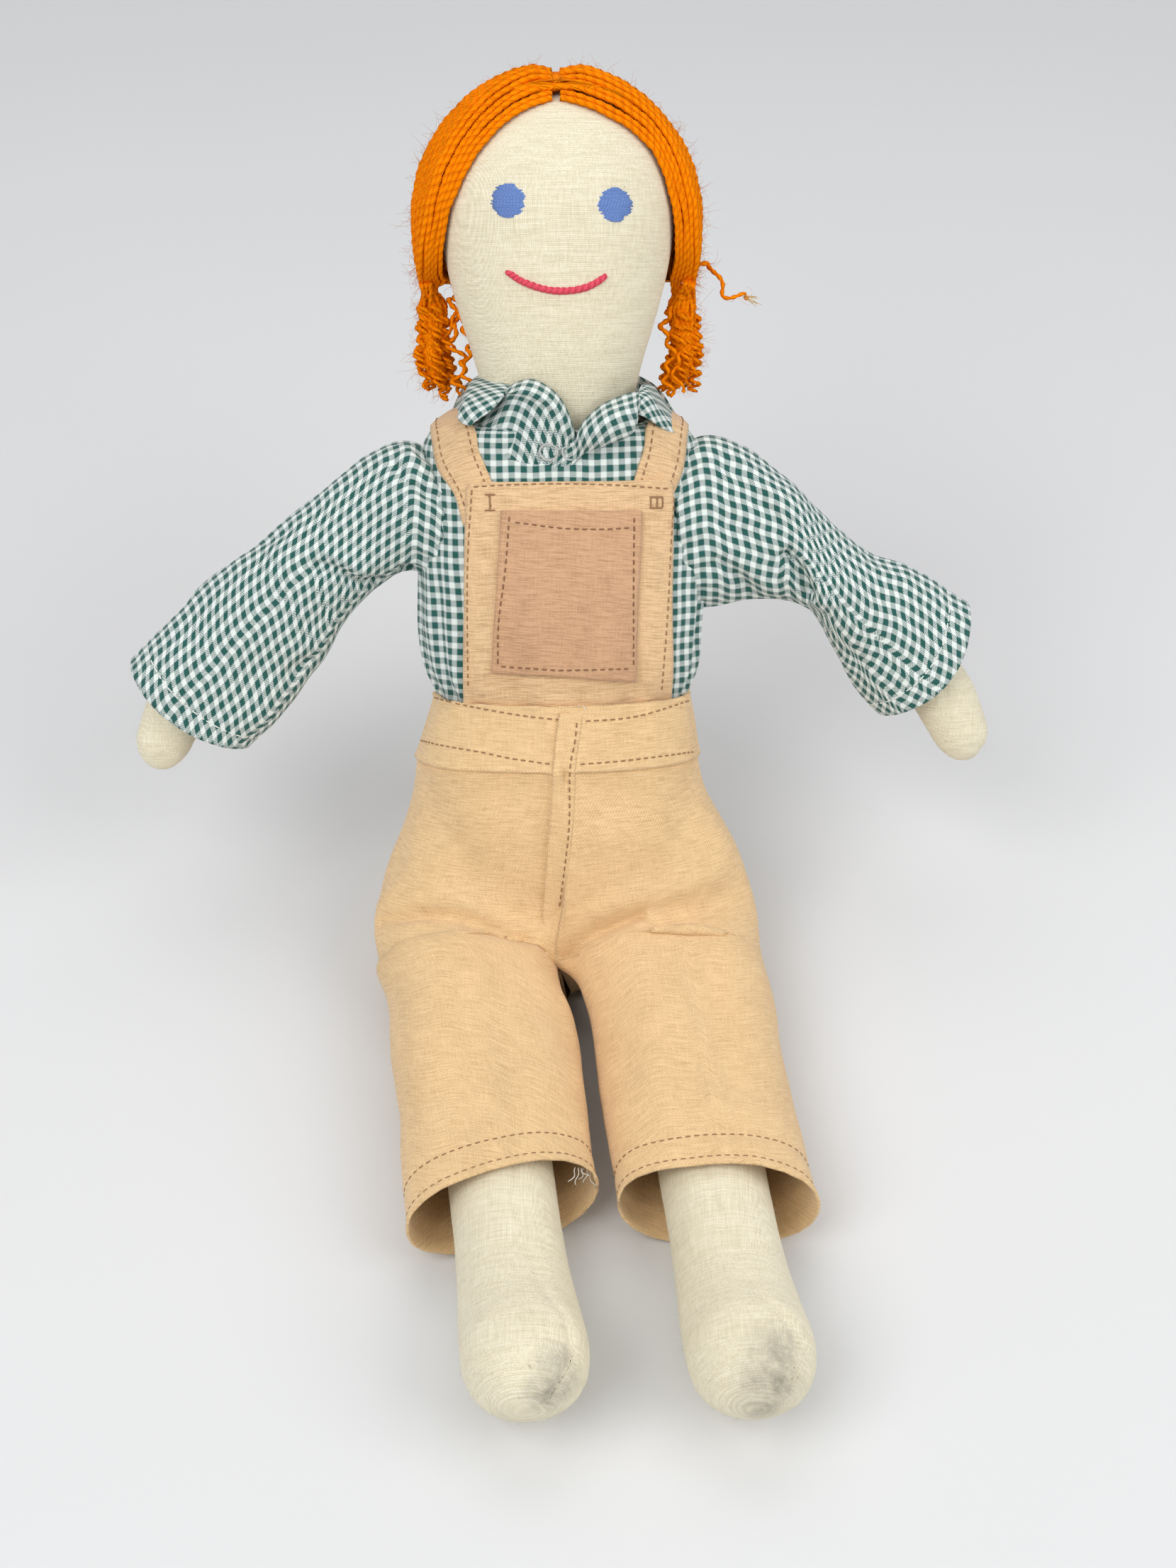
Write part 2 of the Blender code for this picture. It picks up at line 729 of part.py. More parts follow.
def make_collar(torso, gingham):
    """The turned-down collar, its two wings parted at the throat."""
    bm = bmesh.new()
    grid = []
    for share_round in spread(0.0, 1.0, 28):
        grid.append([bm.verts.new(collar_point(share_round, across)) for across in spread(0.0, 1.0, 6)])
    for first, second in zip(grid, grid[1:]):
        for index in range(6):
            bm.faces.new((first[index], first[index + 1], second[index + 1], second[index]))
    collar = add_object("collar", bm, gingham, torso)
    thicken = collar.modifiers.new("cloth", "SOLIDIFY")
    thicken.thickness = collar_thickness
    thicken.offset = 0.0
    thicken.use_even_offset = True


def make_fastener(torso, wire):
    """The hook and its eye, two loops of bent wire at the throat."""
    surface = surface_of(shirt_rings(0.0))
    spacing = 2 * (fastener_radius + fastener_wire_radius) + sewn_gap
    height = neck_opening_height - neck_opening_drop - 2 * fastener_radius
    for side, name in ((-1, "fastener_hook"), (1, "fastener_eye")):
        bm = bmesh.new()
        origin = Vector((side * spacing / 2, -cut_overrun, height))
        place, normal, _, _ = surface.ray_cast(origin, Vector((0.0, 1.0, 0.0)))
        middle = place + normal * (fastener_wire_radius + fastener_lie)
        side_axis = Vector((1.0, 0.0, 0.0))
        rise = normal.cross(side_axis).normalized()
        rings = []
        for index in range(14):
            turn = math.tau * index / 14
            spoke = side_axis * math.cos(turn) + rise * math.sin(turn)
            along = rise * math.cos(turn) - side_axis * math.sin(turn)
            centre = middle + spoke * fastener_radius
            rings.append(route_ring(centre, along, normal, fastener_wire_radius, fastener_wire_radius, 6))
        loops = skin_rings(bm, rings)
        join_rings(bm, loops[-1], loops[0])
        add_object(name, bm, wire, torso)


def seat_rings(inward):
    """Rings of the dungarees from the seat up to the waistband."""
    rings = []
    length = waist_bottom + seat_bottom
    for share in seat_ring_shares:
        height = -seat_bottom + length * share + (inward if share == 0.0 else 0.0)
        half_width = seat_half_width * share_at(seat_width_shares, share) - inward
        half_depth = seat_half_depth * share_at(seat_depth_shares, share) - inward
        shift = seat_back_shift * share_at(seat_shift_shares, share)
        rings.append(upright_ring(half_width, half_depth, height, body_sides, shift))
    rings[-1] = [point - Vector((0.0, 0.0, sewn_gap)) for point in rings[-1]]
    return rings


def seat_room_cutter(torso):
    """The room inside the seat, with the cloth's own thickness left above the floor."""
    rings = seat_rings(denim_wall)
    rings.append([point + Vector((0.0, 0.0, cut_overrun)) for point in rings[-1]])
    room = as_cutter("seat_room", solid_mesh(rings), torso)
    low = (-cut_overrun * 2, -cut_overrun * 2, -cut_overrun)
    cut(room, add_box("floor_cloth", low, (cut_overrun * 2, cut_overrun * 2, denim_wall)))
    return room


def crease_turn():
    """How far the crease of each hip runs back from the crotch, as an angle in plan."""
    return math.atan2(hip_crease_back, seat_half_width)


def leg_room_cutter():
    """Everything in front of the creases where the trouser legs start."""
    reach = 2 * cut_overrun
    back = reach * math.tan(crease_turn())
    plan = (
        (-reach, back), (0.0, 0.0), (reach, back), (reach, -2 * reach), (-reach, -2 * reach),
    )
    front = sewn_gap - crotch_forward
    bm = bmesh.new()
    rings = [
        [Vector((x, y + front, height)) for x, y in plan] for height in (-cut_overrun, hip_crease_top())
    ]
    loops = skin_rings(bm, rings)
    bm.faces.new(loops[0])
    bm.faces.new(loops[1])
    return as_cutter("leg_room", bm)


def hip_crease_top():
    """Height of the crease above the floor."""
    return hip_axis_height + trouser_root_half_height + sewn_gap


def make_seat(torso, twill, floor):
    """The dungarees' seat and hips, open above and where the legs go in."""
    seat = add_object("dungarees_seat", solid_mesh(seat_rings(0.0)), twill, torso)
    cut(seat, floor)
    cut(seat, leg_room_cutter())
    cut(seat, seat_room_cutter(torso))


def make_waistband(torso, twill):
    """The band round the waist."""
    layers = []
    for inward in (0.0, waistband_wall):
        layers.append([
            upright_ring(waist_half_width - inward, waist_half_depth - inward, height)
            for height in spread(waist_bottom, waist_top, 3)
        ])
    add_object("waistband", shell_mesh(layers[0], layers[1]), twill, torso)


def make_bib(torso, twill):
    """The bib on the chest and the pocket on it."""
    rings = shirt_rings(0.0)
    bib = front_patch(
        bib_half_width_bottom, bib_half_width_top, waist_top + swing_gap, bib_top, bib_shift,
    )
    lay_cloth("bib", rings, bib_lie, bib_thickness, bib, twill, torso)
    pocket = front_patch(pocket_half_width, pocket_half_width, pocket_bottom, pocket_top, bib_shift)
    pocket_lie = bib_lie + bib_thickness + sewn_gap
    lay_cloth("bib_pocket", rings, pocket_lie, pocket_thickness, pocket, twill, torso)


def strap_patch(side):
    """A fan that follows one strap round the shoulder, from the bib to the back of the waist."""
    front = math.atan2(bib_top + sewn_gap - strap_centre_height, bib_half_width_top)
    end = math.pi + math.atan2(strap_centre_height - waist_top, body_half_depth)
    spacing_curve = (
        (front, strap_front_spacing), (math.pi / 2, strap_shoulder_spacing), (end, strap_back_spacing),
    )
    rings = []
    for angle in spread(front / 2, end + front / 2, 24):
        outward = Vector((0.0, -math.cos(angle), math.sin(angle)))
        centre = side * share_at(spacing_curve, angle)
        axis = Vector((centre, 0.0, strap_centre_height))
        half_width = Vector((strap_width / 2, 0.0, 0.0))
        near = axis + outward * strap_inner_radius
        far = axis + outward * 2 * cut_overrun
        rings.append([near - half_width, near + half_width, far + half_width, far - half_width])
    bm = bmesh.new()
    loops = skin_rings(bm, rings)
    bm.faces.new(loops[0])
    bm.faces.new(loops[-1])
    bmesh.ops.triangulate(bm, faces=bm.faces)
    return bm


def make_straps(torso, twill):
    """The two shoulder straps, from the bib's corners over the shoulders to the back."""
    rings = shirt_rings(0.0)
    reach = 2 * cut_overrun
    front_end = add_box("below_bib_edge", (-reach, -reach, 0.0), (reach, 0.0, bib_top + sewn_gap), torso)
    back_end = add_box("below_waist_edge", (-reach, 0.0, 0.0), (reach, reach, waist_top + sewn_gap), torso)
    for side, name in ((-1, "strap_left"), (1, "strap_right")):
        lay_cloth(name, rings, strap_lie, strap_thickness, strap_patch(side), twill, torso)
        patch = bpy.data.objects[name + "_patch"]
        cut(patch, front_end)
        cut(patch, back_end)


def make_fly(torso, twill):
    """The stitched facing down the middle of the front."""
    top = waist_bottom - sewn_gap * 2
    facing = front_patch(fly_width / 2, fly_width / 2, top - fly_length, top, 0.0)
    lay_cloth("fly_facing", seat_rings(0.0), sewn_gap, fly_thickness, facing, twill, torso)


def make_arm(side, shoulder, skin):
    """A stuffed arm that ends in a mitten."""
    across = [Vector((side * arm_side_length * x, 0.0, -arm_drop * z)) for x, z in arm_route_shares]
    root = armhole_radius - sleeve_wall - 2 * sewn_gap
    back = (across[0] - across[1]).normalized() * root
    length, read = route_through([across[0] + back] + across)
    tip = arm_half_width * arm_tip_share
    rings = []
    for at in ring_places(length, root, tip, 8):
        place, heading = read(at)
        share = max(at - root, 0.0) / (length - root)
        fullness = round_share(at, root) * round_share(length - at, tip)
        half_width = arm_half_width * share_at(arm_width_shares, share) * fullness
        half_depth = arm_half_depth * share_at(arm_depth_shares, share) * fullness
        rings.append(route_ring(place, heading, Vector((0.0, 0.0, 1.0)), half_width, half_depth))
    name = "arm_left" if side < 0 else "arm_right"
    return add_object(name, solid_mesh(rings), skin, shoulder)


def make_sleeve(side, shoulder, gingham):
    """A long flared sleeve, gathered to a round head and open at the cuff."""
    points = [Vector((side * sleeve_side_length * x, 0.0, -sleeve_sink * z)) for x, z in sleeve_route_shares]
    layers = []
    for inward in (0.0, sleeve_wall):
        root = armhole_radius - inward
        back = (points[0] - points[1]).normalized() * root
        length, read = route_through([points[0] + back] + points)
        rings = []
        for at in ring_places(length, root, 0.0, 7):
            place, heading = read(at)
            share = max(at - root, 0.0) / (length - root)
            start = round_share(at, root)
            flare = (sleeve_cuff_half_width - armhole_radius) * share_at(sleeve_flare_shares, share)
            half_width = (armhole_radius + flare - inward) * start
            half_depth = (sleeve_half_depth * share_at(sleeve_depth_shares, share) - inward) * start
            rings.append(route_ring(place, heading, Vector((0.0, 0.0, 1.0)), half_width, half_depth))
        layers.append(rings)
    name = "sleeve_left" if side < 0 else "sleeve_right"
    add_object(name, shell_mesh(layers[0], layers[1], closed_start=True), gingham, shoulder)


def make_leg(name, hip, skin, floor):
    """A stuffed leg with its foot turned up."""
    points = [Vector((0.0, leg_root_radius, 0.0)), Vector((0.0, 0.0, 0.0))]
    for along, fall in leg_route_shares:
        points.append(Vector((0.0, -leg_length * along, -leg_fall * fall)))
    for along, rise in foot_route_shares:
        points.append(Vector((0.0, -leg_length - foot_length * along, foot_rise * rise)))
    length, read = route_through(points)
    foot_start = leg_length + leg_root_radius
    rings = []
    for at in ring_places(length, leg_root_radius, foot_half_width, 11):
        place, heading = read(at)
        share = max(at - leg_root_radius, 0.0) / (length - leg_root_radius)
        foot = min(max((at - foot_start) / foot_length + foot_start_share, 0.0), 1.0)
        radius = leg_radius * share_at(leg_width_shares, share)
        fullness = round_share(at, leg_root_radius) * round_share(length - at, foot_half_width)
        half_width = (radius + (foot_half_width - leg_radius) * foot) * fullness
        half_height = (radius + (foot_half_depth - leg_radius) * foot) * fullness
        rings.append(route_ring(place, heading, Vector((1.0, 0.0, 0.0)), half_width, half_height))
    leg = add_object(name, solid_mesh(rings), skin, hip)
    cut(leg, floor)


def make_trouser_leg(name, side, hip, twill, floor):
    """One wide trouser leg, open at the hem."""
    layers = []
    for inward in (0.0, denim_wall):
        rings = []
        for share in spread(0.0, 1.0, 6):
            back = trouser_root_half_height * (1.0 - share)
            place = Vector((0.0, back - trouser_length * share, -trouser_hem_sink * share))
            taper = (trouser_hem_half_height - trouser_root_half_height) * share
            half_height = trouser_root_half_height + taper - inward
            heading, across = Vector((0.0, -1.0, 0.0)), Vector((1.0, 0.0, 0.0))
            rings.append(route_ring(place, heading, across, trouser_half_width - inward, half_height, 24))
        layers.append(rings)
    leg = add_object(name, shell_mesh(layers[0], layers[1]), twill, hip)
    cut(leg, leg_back_cutter(side))
    cut(leg, floor)


def leg_back_cutter(side):
    """Everything behind the crease where one trouser leg starts."""
    turn = crease_turn() * side
    name = "crease_left" if side < 0 else "crease_right"
    reach = 2 * cut_overrun
    cutter = add_box(name, (-reach, 0.0, -reach), (reach, reach, reach))
    cutter.location = (0.0, -crotch_forward, 0.0)
    cutter.rotation_euler = (0.0, 0.0, turn)
    return cutter


def build():
    """The whole doll."""
    clear_scene()
    calico = material("calico", (0.80, 0.74, 0.60), 0.9)
    gingham = material("gingham", (0.20, 0.38, 0.33), 0.85)
    twill = material("twill", (0.56, 0.36, 0.21), 0.85)
    yarn = material("yarn", (0.85, 0.22, 0.02), 0.9)
    blue_thread = material("blue_thread", (0.06, 0.12, 0.45), 0.5)
    red_thread = material("red_thread", (0.70, 0.04, 0.12), 0.6)
    wire = material("wire", (0.75, 0.75, 0.73), 0.3, 1.0)

    torso = add_empty("torso_frame", (0.0, 0.0, frame_height), (-torso_lean, 0.0, 0.0))
    neck = add_empty("neck_axis", (0.0, 0.0, neck_axis_height), parent=torso)
    floor = floor_cutter()

    make_body(torso, calico)
    make_head(neck, calico)
    make_eyes(neck, blue_thread)
    make_mouth(neck, red_thread)
    make_hair(neck, yarn)
    make_bunches(neck, yarn)
    make_shirt(torso, gingham)
    make_collar(torso, gingham)
    make_fastener(torso, wire)
    make_seat(torso, twill, floor)
    make_waistband(torso, twill)
    make_bib(torso, twill)
    make_straps(torso, twill)
    make_fly(torso, twill)
    for side, word in ((-1, "left"), (1, "right")):
        place = (side * shoulder_half_spacing, 0.0, shoulder_axis_height)
        shoulder = add_empty("shoulder_axis_" + word, place, parent=torso)
        make_arm(side, shoulder, calico)
        make_sleeve(side, shoulder, gingham)
        turn = left_leg_turn if side < 0 else right_leg_turn
        place = (side * hip_half_spacing, -hip_axis_forward, hip_axis_height)
        hip = add_empty("hip_axis_" + word, place, (0.0, 0.0, turn))
        make_leg("leg_" + word, hip, calico, floor)
        make_trouser_leg("trouser_leg_" + word, side, hip, twill, floor)


build()
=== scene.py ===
"""Looks of a sitting rag doll in a gingham shirt and bib dungarees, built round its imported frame."""
import math
import random

import bpy
import numpy as np
from mathutils import Matrix, Quaternion, Vector, noise
from mathutils.bvhtree import BVHTree


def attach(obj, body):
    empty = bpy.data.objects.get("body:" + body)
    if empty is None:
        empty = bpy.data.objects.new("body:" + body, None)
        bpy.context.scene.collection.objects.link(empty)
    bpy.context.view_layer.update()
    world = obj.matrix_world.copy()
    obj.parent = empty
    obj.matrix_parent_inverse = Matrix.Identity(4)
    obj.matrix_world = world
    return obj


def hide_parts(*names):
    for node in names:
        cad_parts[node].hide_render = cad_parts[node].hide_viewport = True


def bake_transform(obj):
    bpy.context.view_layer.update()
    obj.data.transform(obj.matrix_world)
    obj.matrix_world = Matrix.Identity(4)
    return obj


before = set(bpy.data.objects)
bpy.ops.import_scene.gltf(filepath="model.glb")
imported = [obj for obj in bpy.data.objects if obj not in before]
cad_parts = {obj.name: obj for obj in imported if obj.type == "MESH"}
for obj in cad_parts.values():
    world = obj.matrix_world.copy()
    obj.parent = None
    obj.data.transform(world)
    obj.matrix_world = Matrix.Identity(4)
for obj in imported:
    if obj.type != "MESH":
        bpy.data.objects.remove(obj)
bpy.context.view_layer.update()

# The doll's own frame: it leans back, and its places are across, forward of the spine and up it
lean = math.radians(30.0)
spine_way = Vector((0.0, math.sin(lean), math.cos(lean)))
front_way = Vector((0.0, -math.cos(lean), math.sin(lean)))
up_way = Vector((0.0, 0.0, 1.0))
spine_foot = Vector((0.0, 0.0, 0.030))
neck_height = 0.166
hip_half_spacing = 0.035
hip_forward = 0.004
hip_height = 0.022
leg_turns = {-1: math.radians(6.5), 1: math.radians(5.5)}

# The photograph's camera
picture_size = (1659, 2212)
reading_scale = 1.106
camera_lens = 52.0
camera_film_height = 36.0
camera_distance = 0.770
camera_turn = math.radians(-1.0)
camera_rise = math.radians(42.0)
aim_place = (719, 1000)
aim_up, aim_front = 0.045, 0.030

# Cloth
gingham_period = 0.0041
gingham_thread = 0.00034
shirt_wall = 0.0006
drill_wall = 0.0009
calico_threads = (0.00058, 0.00060)
drill_rib = 0.00092
floor_gap = 0.0004
stitch_spacing = 0.0028
stitch_length = 0.0017
stitch_radius = 0.00028

chance = random.Random(7)


# Hand tools

def deselect():
    """Nothing selected, in object mode."""
    if bpy.context.object and bpy.context.object.mode != "OBJECT":
        bpy.ops.object.mode_set(mode="OBJECT")
    bpy.ops.object.select_all(action="DESELECT")


def pick(*pieces):
    """Select only these pieces, the first one active."""
    deselect()
    for piece in pieces:
        piece.select_set(True)
    bpy.context.view_layer.objects.active = pieces[0]


def apply_all(piece):
    """Apply every modifier of a piece."""
    pick(piece)
    for modifier in list(piece.modifiers):
        bpy.ops.object.modifier_apply(modifier=modifier.name)


def torso_point(across, front, up):
    """A place in the doll's leaning frame."""
    return spine_foot + Vector((across, 0.0, 0.0)) + front_way * front + spine_way * up


def head_point(across, front, up):
    """A place in the head's frame, measured from the neck seam."""
    return torso_point(across, front, neck_height + up)


def leg_point(side, across, along, up):
    """A place in one leg's frame: across it, along it to the foot and up."""
    turn = leg_turns[side]
    hip = Vector((side * hip_half_spacing, -hip_forward, hip_height))
    way = Vector((math.sin(turn), -math.cos(turn), 0.0))
    out = Vector((math.cos(turn), math.sin(turn), 0.0))
    return hip + way * along + out * across + Vector((0.0, 0.0, up))


def camera_frame():
    """The camera's place, its view direction, its right and its up."""
    view = Vector((
        -math.sin(camera_turn) * math.cos(camera_rise),
        math.cos(camera_turn) * math.cos(camera_rise),
        -math.sin(camera_rise),
    ))
    right = Vector((math.cos(camera_turn), math.sin(camera_turn), 0.0))
    up = right.cross(view)
    focal = camera_lens / camera_film_height * picture_size[1]
    aim = torso_point(0.0, aim_front, aim_up)
    slide = (aim_place[0] * reading_scale - picture_size[0] / 2) * camera_distance / focal
    rise = (picture_size[1] / 2 - aim_place[1] * reading_scale) * camera_distance / focal
    place = aim - view * camera_distance - right * slide - up * rise
    return place, view, right, up, focal


def sight(x, y):
    """The line of sight through a place of the picture, read at 1500 by 2000."""
    place, view, right, up, focal = camera_frame()
    across = (x * reading_scale - picture_size[0] / 2) / focal
    above = (picture_size[1] / 2 - y * reading_scale) / focal
    return place, (view + right * across + up * above).normalized()


def mesh_tree(*meshes):
    """A tree of meshes' faces, to lay things on."""
    vertices, faces = [], []
    for mesh in meshes:
        base = len(vertices)
        vertices.extend(vertex.co.copy() for vertex in mesh.vertices)
        faces.extend([base + index for index in face.vertices] for face in mesh.polygons)
    return BVHTree.FromPolygons(vertices, faces)


def skin_of(*names):
    """A tree of CAD nodes' faces."""
    return mesh_tree(*(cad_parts[name].data for name in names))


def land(tree, start, way):
    """Where a line from outside first meets a surface, or nothing."""
    return tree.ray_cast(start, way)[0]


def seen_on(tree, x, y):
    """The place on a surface seen at a place of the picture, and its normal towards the camera."""
    start, way = sight(x, y)
    place, out = tree.ray_cast(start, way)[:2]
    if place is not None and out.dot(way) >= 0:
        out = -out
    return place, out


def dress(piece, slot, body, *nodes):
    """Attach a piece to the body it moves with and hide the solids it stands for; the colour slot is not used.
    """
    if nodes:
        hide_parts(*nodes)
    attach(piece, body)


def declare_sheet(piece, points):
    """Work out how large a laid cloth is when cut flat; the sizes are not kept."""
    width, length, area = flat_size(points)


def leg_way(side):
    """The direction of one leg, from its hip to its foot."""
    return leg_point(side, 0.0, 1.0, 0.0) - leg_point(side, 0.0, 0.0, 0.0)


def normals_from(points, closed, middle):
    """Unit normals of a laid cloth, away from a place inside it."""
    normals = grid_normals(points, closed)
    return normals if ((points - np.array(middle)) * normals).sum() >= 0 else -normals


def front_normals(points):
    """Unit normals of a laid cloth, towards the doll's front."""
    normals = grid_normals(points, False)
    return normals if (normals.reshape(-1, 3) @ np.array(front_way)).mean() >= 0 else -normals


def curve_at(pairs, place):
    """Read a smooth curve through (place, value) pairs, level past its ends."""
    if place <= pairs[0][0]:
        return pairs[0][1]
    for index in range(len(pairs) - 1):
        start, end = pairs[index], pairs[index + 1]
        if place > end[0]:
            continue
        before = pairs[max(index - 1, 0)]
        after = pairs[min(index + 2, len(pairs) - 1)]
        span = end[0] - start[0]
        start_slope = (end[1] - before[1]) / (end[0] - before[0])
        end_slope = (after[1] - start[1]) / (after[0] - start[0])
        part = (place - start[0]) / span
        return (
            start[1] * (1 + 2 * part) * (1 - part) ** 2
            + span * start_slope * part * (1 - part) ** 2
            + end[1] * part ** 2 * (3 - 2 * part)
            + span * end_slope * part ** 2 * (part - 1)
        )
    return pairs[-1][1]


def path_at(points, share):
    """A place on a smooth path through points, by share of its corner count."""
    last = len(points) - 1
    axes = []
    for axis in range(len(points[0])):
        axes.append(curve_at([(index / last, point[axis]) for index, point in enumerate(points)], share))
    return Vector(axes)


def ease_step(value, low, high):
    """A smooth step from 0 at low to 1 at high."""
    part = min(max((value - low) / (high - low), 0.0), 1.0)
    return part * part * (3.0 - 2.0 * part)


# Cloth grids: rows of points, kept as an array of rows, columns and 3

def lay_grid(rows, columns, place):
    """Points of a cloth laid by place(across, along), both from 0 to 1."""
    points = np.zeros((rows + 1, columns + 1, 3))
    for row in range(rows + 1):
        for column in range(columns + 1):
            points[row, column] = place(column / columns, row / rows)
    return points


def grid_normals(points, closed):
    """Unit normals of a cloth grid."""
    if closed:
        ring = points[:, :-1]
        across = np.roll(ring, -1, axis=1) - np.roll(ring, 1, axis=1)
        across = np.concatenate([across, across[:, :1]], axis=1)
    else:
        across = np.gradient(points, axis=1)
    along = np.gradient(points, axis=0)
    normals = np.cross(across, along)
    return normals / np.maximum(np.linalg.norm(normals, axis=2, keepdims=True), 1e-12)


def tube_faces_in(points):
    """Whether a closed cloth's faces look into its own tube."""
    inside = points.mean(axis=1, keepdims=True)
    return bool(((points - inside) * grid_normals(points, True)).sum() < 0)


def relax(points, closed, rounds):
    """Even a cloth out by moving each point towards the mean of its neighbours."""
    points = points.copy()
    for _ in range(rounds):
        if closed:
            ring = points[:, :-1]
            left, right = np.roll(ring, 1, axis=1), np.roll(ring, -1, axis=1)
            left = np.concatenate([left, left[:, :1]], axis=1)
            right = np.concatenate([right, right[:, :1]], axis=1)
        else:
            left = np.concatenate([points[:, :1], points[:, :-1]], axis=1)
            right = np.concatenate([points[:, 1:], points[:, -1:]], axis=1)
        below = np.concatenate([points[:1], points[:-1]], axis=0)
        above = np.concatenate([points[1:], points[-1:]], axis=0)
        moved = points + 0.5 * ((left + right + below + above) / 4 - points)
        moved[0], moved[-1] = points[0], points[-1]
        if not closed:
            moved[:, 0] = points[:, 0]
            moved[:, -1] = points[:, -1]
        points = moved
    return points


def line_distance(points, line):
    """Each point's distance from a line of places, and how far along the line it is, 0 to 1."""
    flat = points.reshape(-1, 3)
    corners = np.array([tuple(place) for place in line])
    lengths = np.linalg.norm(corners[1:] - corners[:-1], axis=1)
    total = lengths.sum()
    best = np.full(len(flat), 1e9)
    along = np.zeros(len(flat))
    walked = 0.0
    for start, end, length in zip(corners[:-1], corners[1:], lengths):
        way = end - start
        part = np.clip(((flat - start) @ way) / max(length ** 2, 1e-12), 0.0, 1.0)
        gap = np.linalg.norm(flat - start - part[:, None] * way, axis=1)
        nearer = gap < best
        best = np.where(nearer, gap, best)
        along = np.where(nearer, (walked + part * length) / total, along)
        walked += length
    return best.reshape(points.shape[:-1]), along.reshape(points.shape[:-1])


def press_line(points, normals, line, depth, width, fade=0.25):
    """Press a soft groove along a line into a cloth, or raise a ridge with a negative depth."""
    gap, along = line_distance(points, line)
    ends = np.clip(np.minimum(along, 1.0 - along) / fade, 0.0, 1.0)
    ends = ends * ends * (3.0 - 2.0 * ends)
    amount = depth * np.exp(-(gap / width) ** 2) * ends
    return points - normals * amount[:, :, None]


def ripple(points, normals, scale, amount, seed):
    """Small irregular waves of handled cloth."""
    moved = points.copy()
    shift = Vector((seed * 3.1, seed * 1.7, seed * 2.3))
    for row in range(points.shape[0]):
        for column in range(points.shape[1]):
            spot = Vector(points[row, column]) * scale + shift
            moved[row, column] += normals[row, column] * amount * noise.noise(spot)
    return moved


def grid_uv(points):
    """Each point's place on the flat cloth in metres, from the middle column and the first row."""
    across = np.linalg.norm(points[:, 1:] - points[:, :-1], axis=2)
    across = np.concatenate([np.zeros((points.shape[0], 1)), np.cumsum(across, axis=1)], axis=1)
    middle = points.shape[1] // 2
    across = across - across[:, middle:middle + 1]
    along = np.linalg.norm(points[1:] - points[:-1], axis=2)
    along = np.concatenate([np.zeros((1, points.shape[1])), np.cumsum(along, axis=0)], axis=0)
    return across, along


def flat_size(points):
    """The flat cut's width, length and area, from a laid cloth."""
    across = np.linalg.norm(points[:, 1:] - points[:, :-1], axis=2).sum(axis=1)
    along = np.linalg.norm(points[1:] - points[:-1], axis=2).sum(axis=0)
    first = np.cross(points[1:, :-1] - points[:-1, :-1], points[:-1, 1:] - points[:-1, :-1])
    second = np.cross(points[:-1, 1:] - points[1:, 1:], points[1:, :-1] - points[1:, 1:])
    area = (np.linalg.norm(first, axis=2) + np.linalg.norm(second, axis=2)).sum() / 2
    width, length = float(across.max()), float(along.max())
    return width, length, float(min(area, width * length))


def cloth_piece(name, points, shade, closed=False, wall=drill_wall, flip=False):
    """A sheet of cloth: a grid laid on the points, its flat places as UVs, then given its wall."""
    rows, columns = points.shape[0] - 1, points.shape[1] - 1
    deselect()
    bpy.ops.mesh.primitive_grid_add(x_subdivisions=columns, y_subdivisions=rows, size=2.0, calc_uvs=True)
    piece = bpy.context.object
    piece.name = name
    piece.data.name = name
    mesh = piece.data
    across, along = grid_uv(points)
    places = {}
    for vertex in mesh.vertices:
        column = round((vertex.co.x + 1.0) / 2.0 * columns)
        row = round((vertex.co.y + 1.0) / 2.0 * rows)
        places[vertex.index] = (row, column)
    flat = mesh.uv_layers.active
    flat.name = "cloth"
    for loop in mesh.loops:
        flat.data[loop.index].uv = (across[places[loop.vertex_index]], along[places[loop.vertex_index]])
    for vertex in mesh.vertices:
        vertex.co = points[places[vertex.index]]
    pick(piece)
    bpy.ops.object.mode_set(mode="EDIT")
    bpy.ops.mesh.select_all(action="SELECT")
    if closed:
        bpy.ops.mesh.remove_doubles(threshold=1e-6)
    if flip:
        bpy.ops.mesh.flip_normals()
    bpy.ops.object.mode_set(mode="OBJECT")
    bpy.ops.object.shade_smooth()
    mesh.materials.append(shade)
    thicken = piece.modifiers.new("wall", "SOLIDIFY")
    thicken.thickness = wall
    thicken.offset = -1.0
    apply_all(piece)
    return piece


def on_grid(points, normals, across, along, lift):
    """A place on a laid cloth, by shares across and along, with its normal."""
    rows, columns = points.shape[0] - 1, points.shape[1] - 1
    row, column = min(max(along, 0.0), 1.0) * rows, min(max(across, 0.0), 1.0) * columns
    low_row, low_column = min(int(row), rows - 1), min(int(column), columns - 1)
    down, side = row - low_row, column - low_column
    weights = ((1 - down) * (1 - side), (1 - down) * side, down * (1 - side), down * side)
    corners = (
        (low_row, low_column), (low_row, low_column + 1), (low_row + 1, low_column),
        (low_row + 1, low_column + 1),
    )
    place, out = Vector(), Vector()
    for weight, corner in zip(weights, corners):
        place += Vector(points[corner]) * weight
        out += Vector(normals[corner]) * weight
    out.normalize()
    return place + out * lift, out


# Threads, stitches and yarn

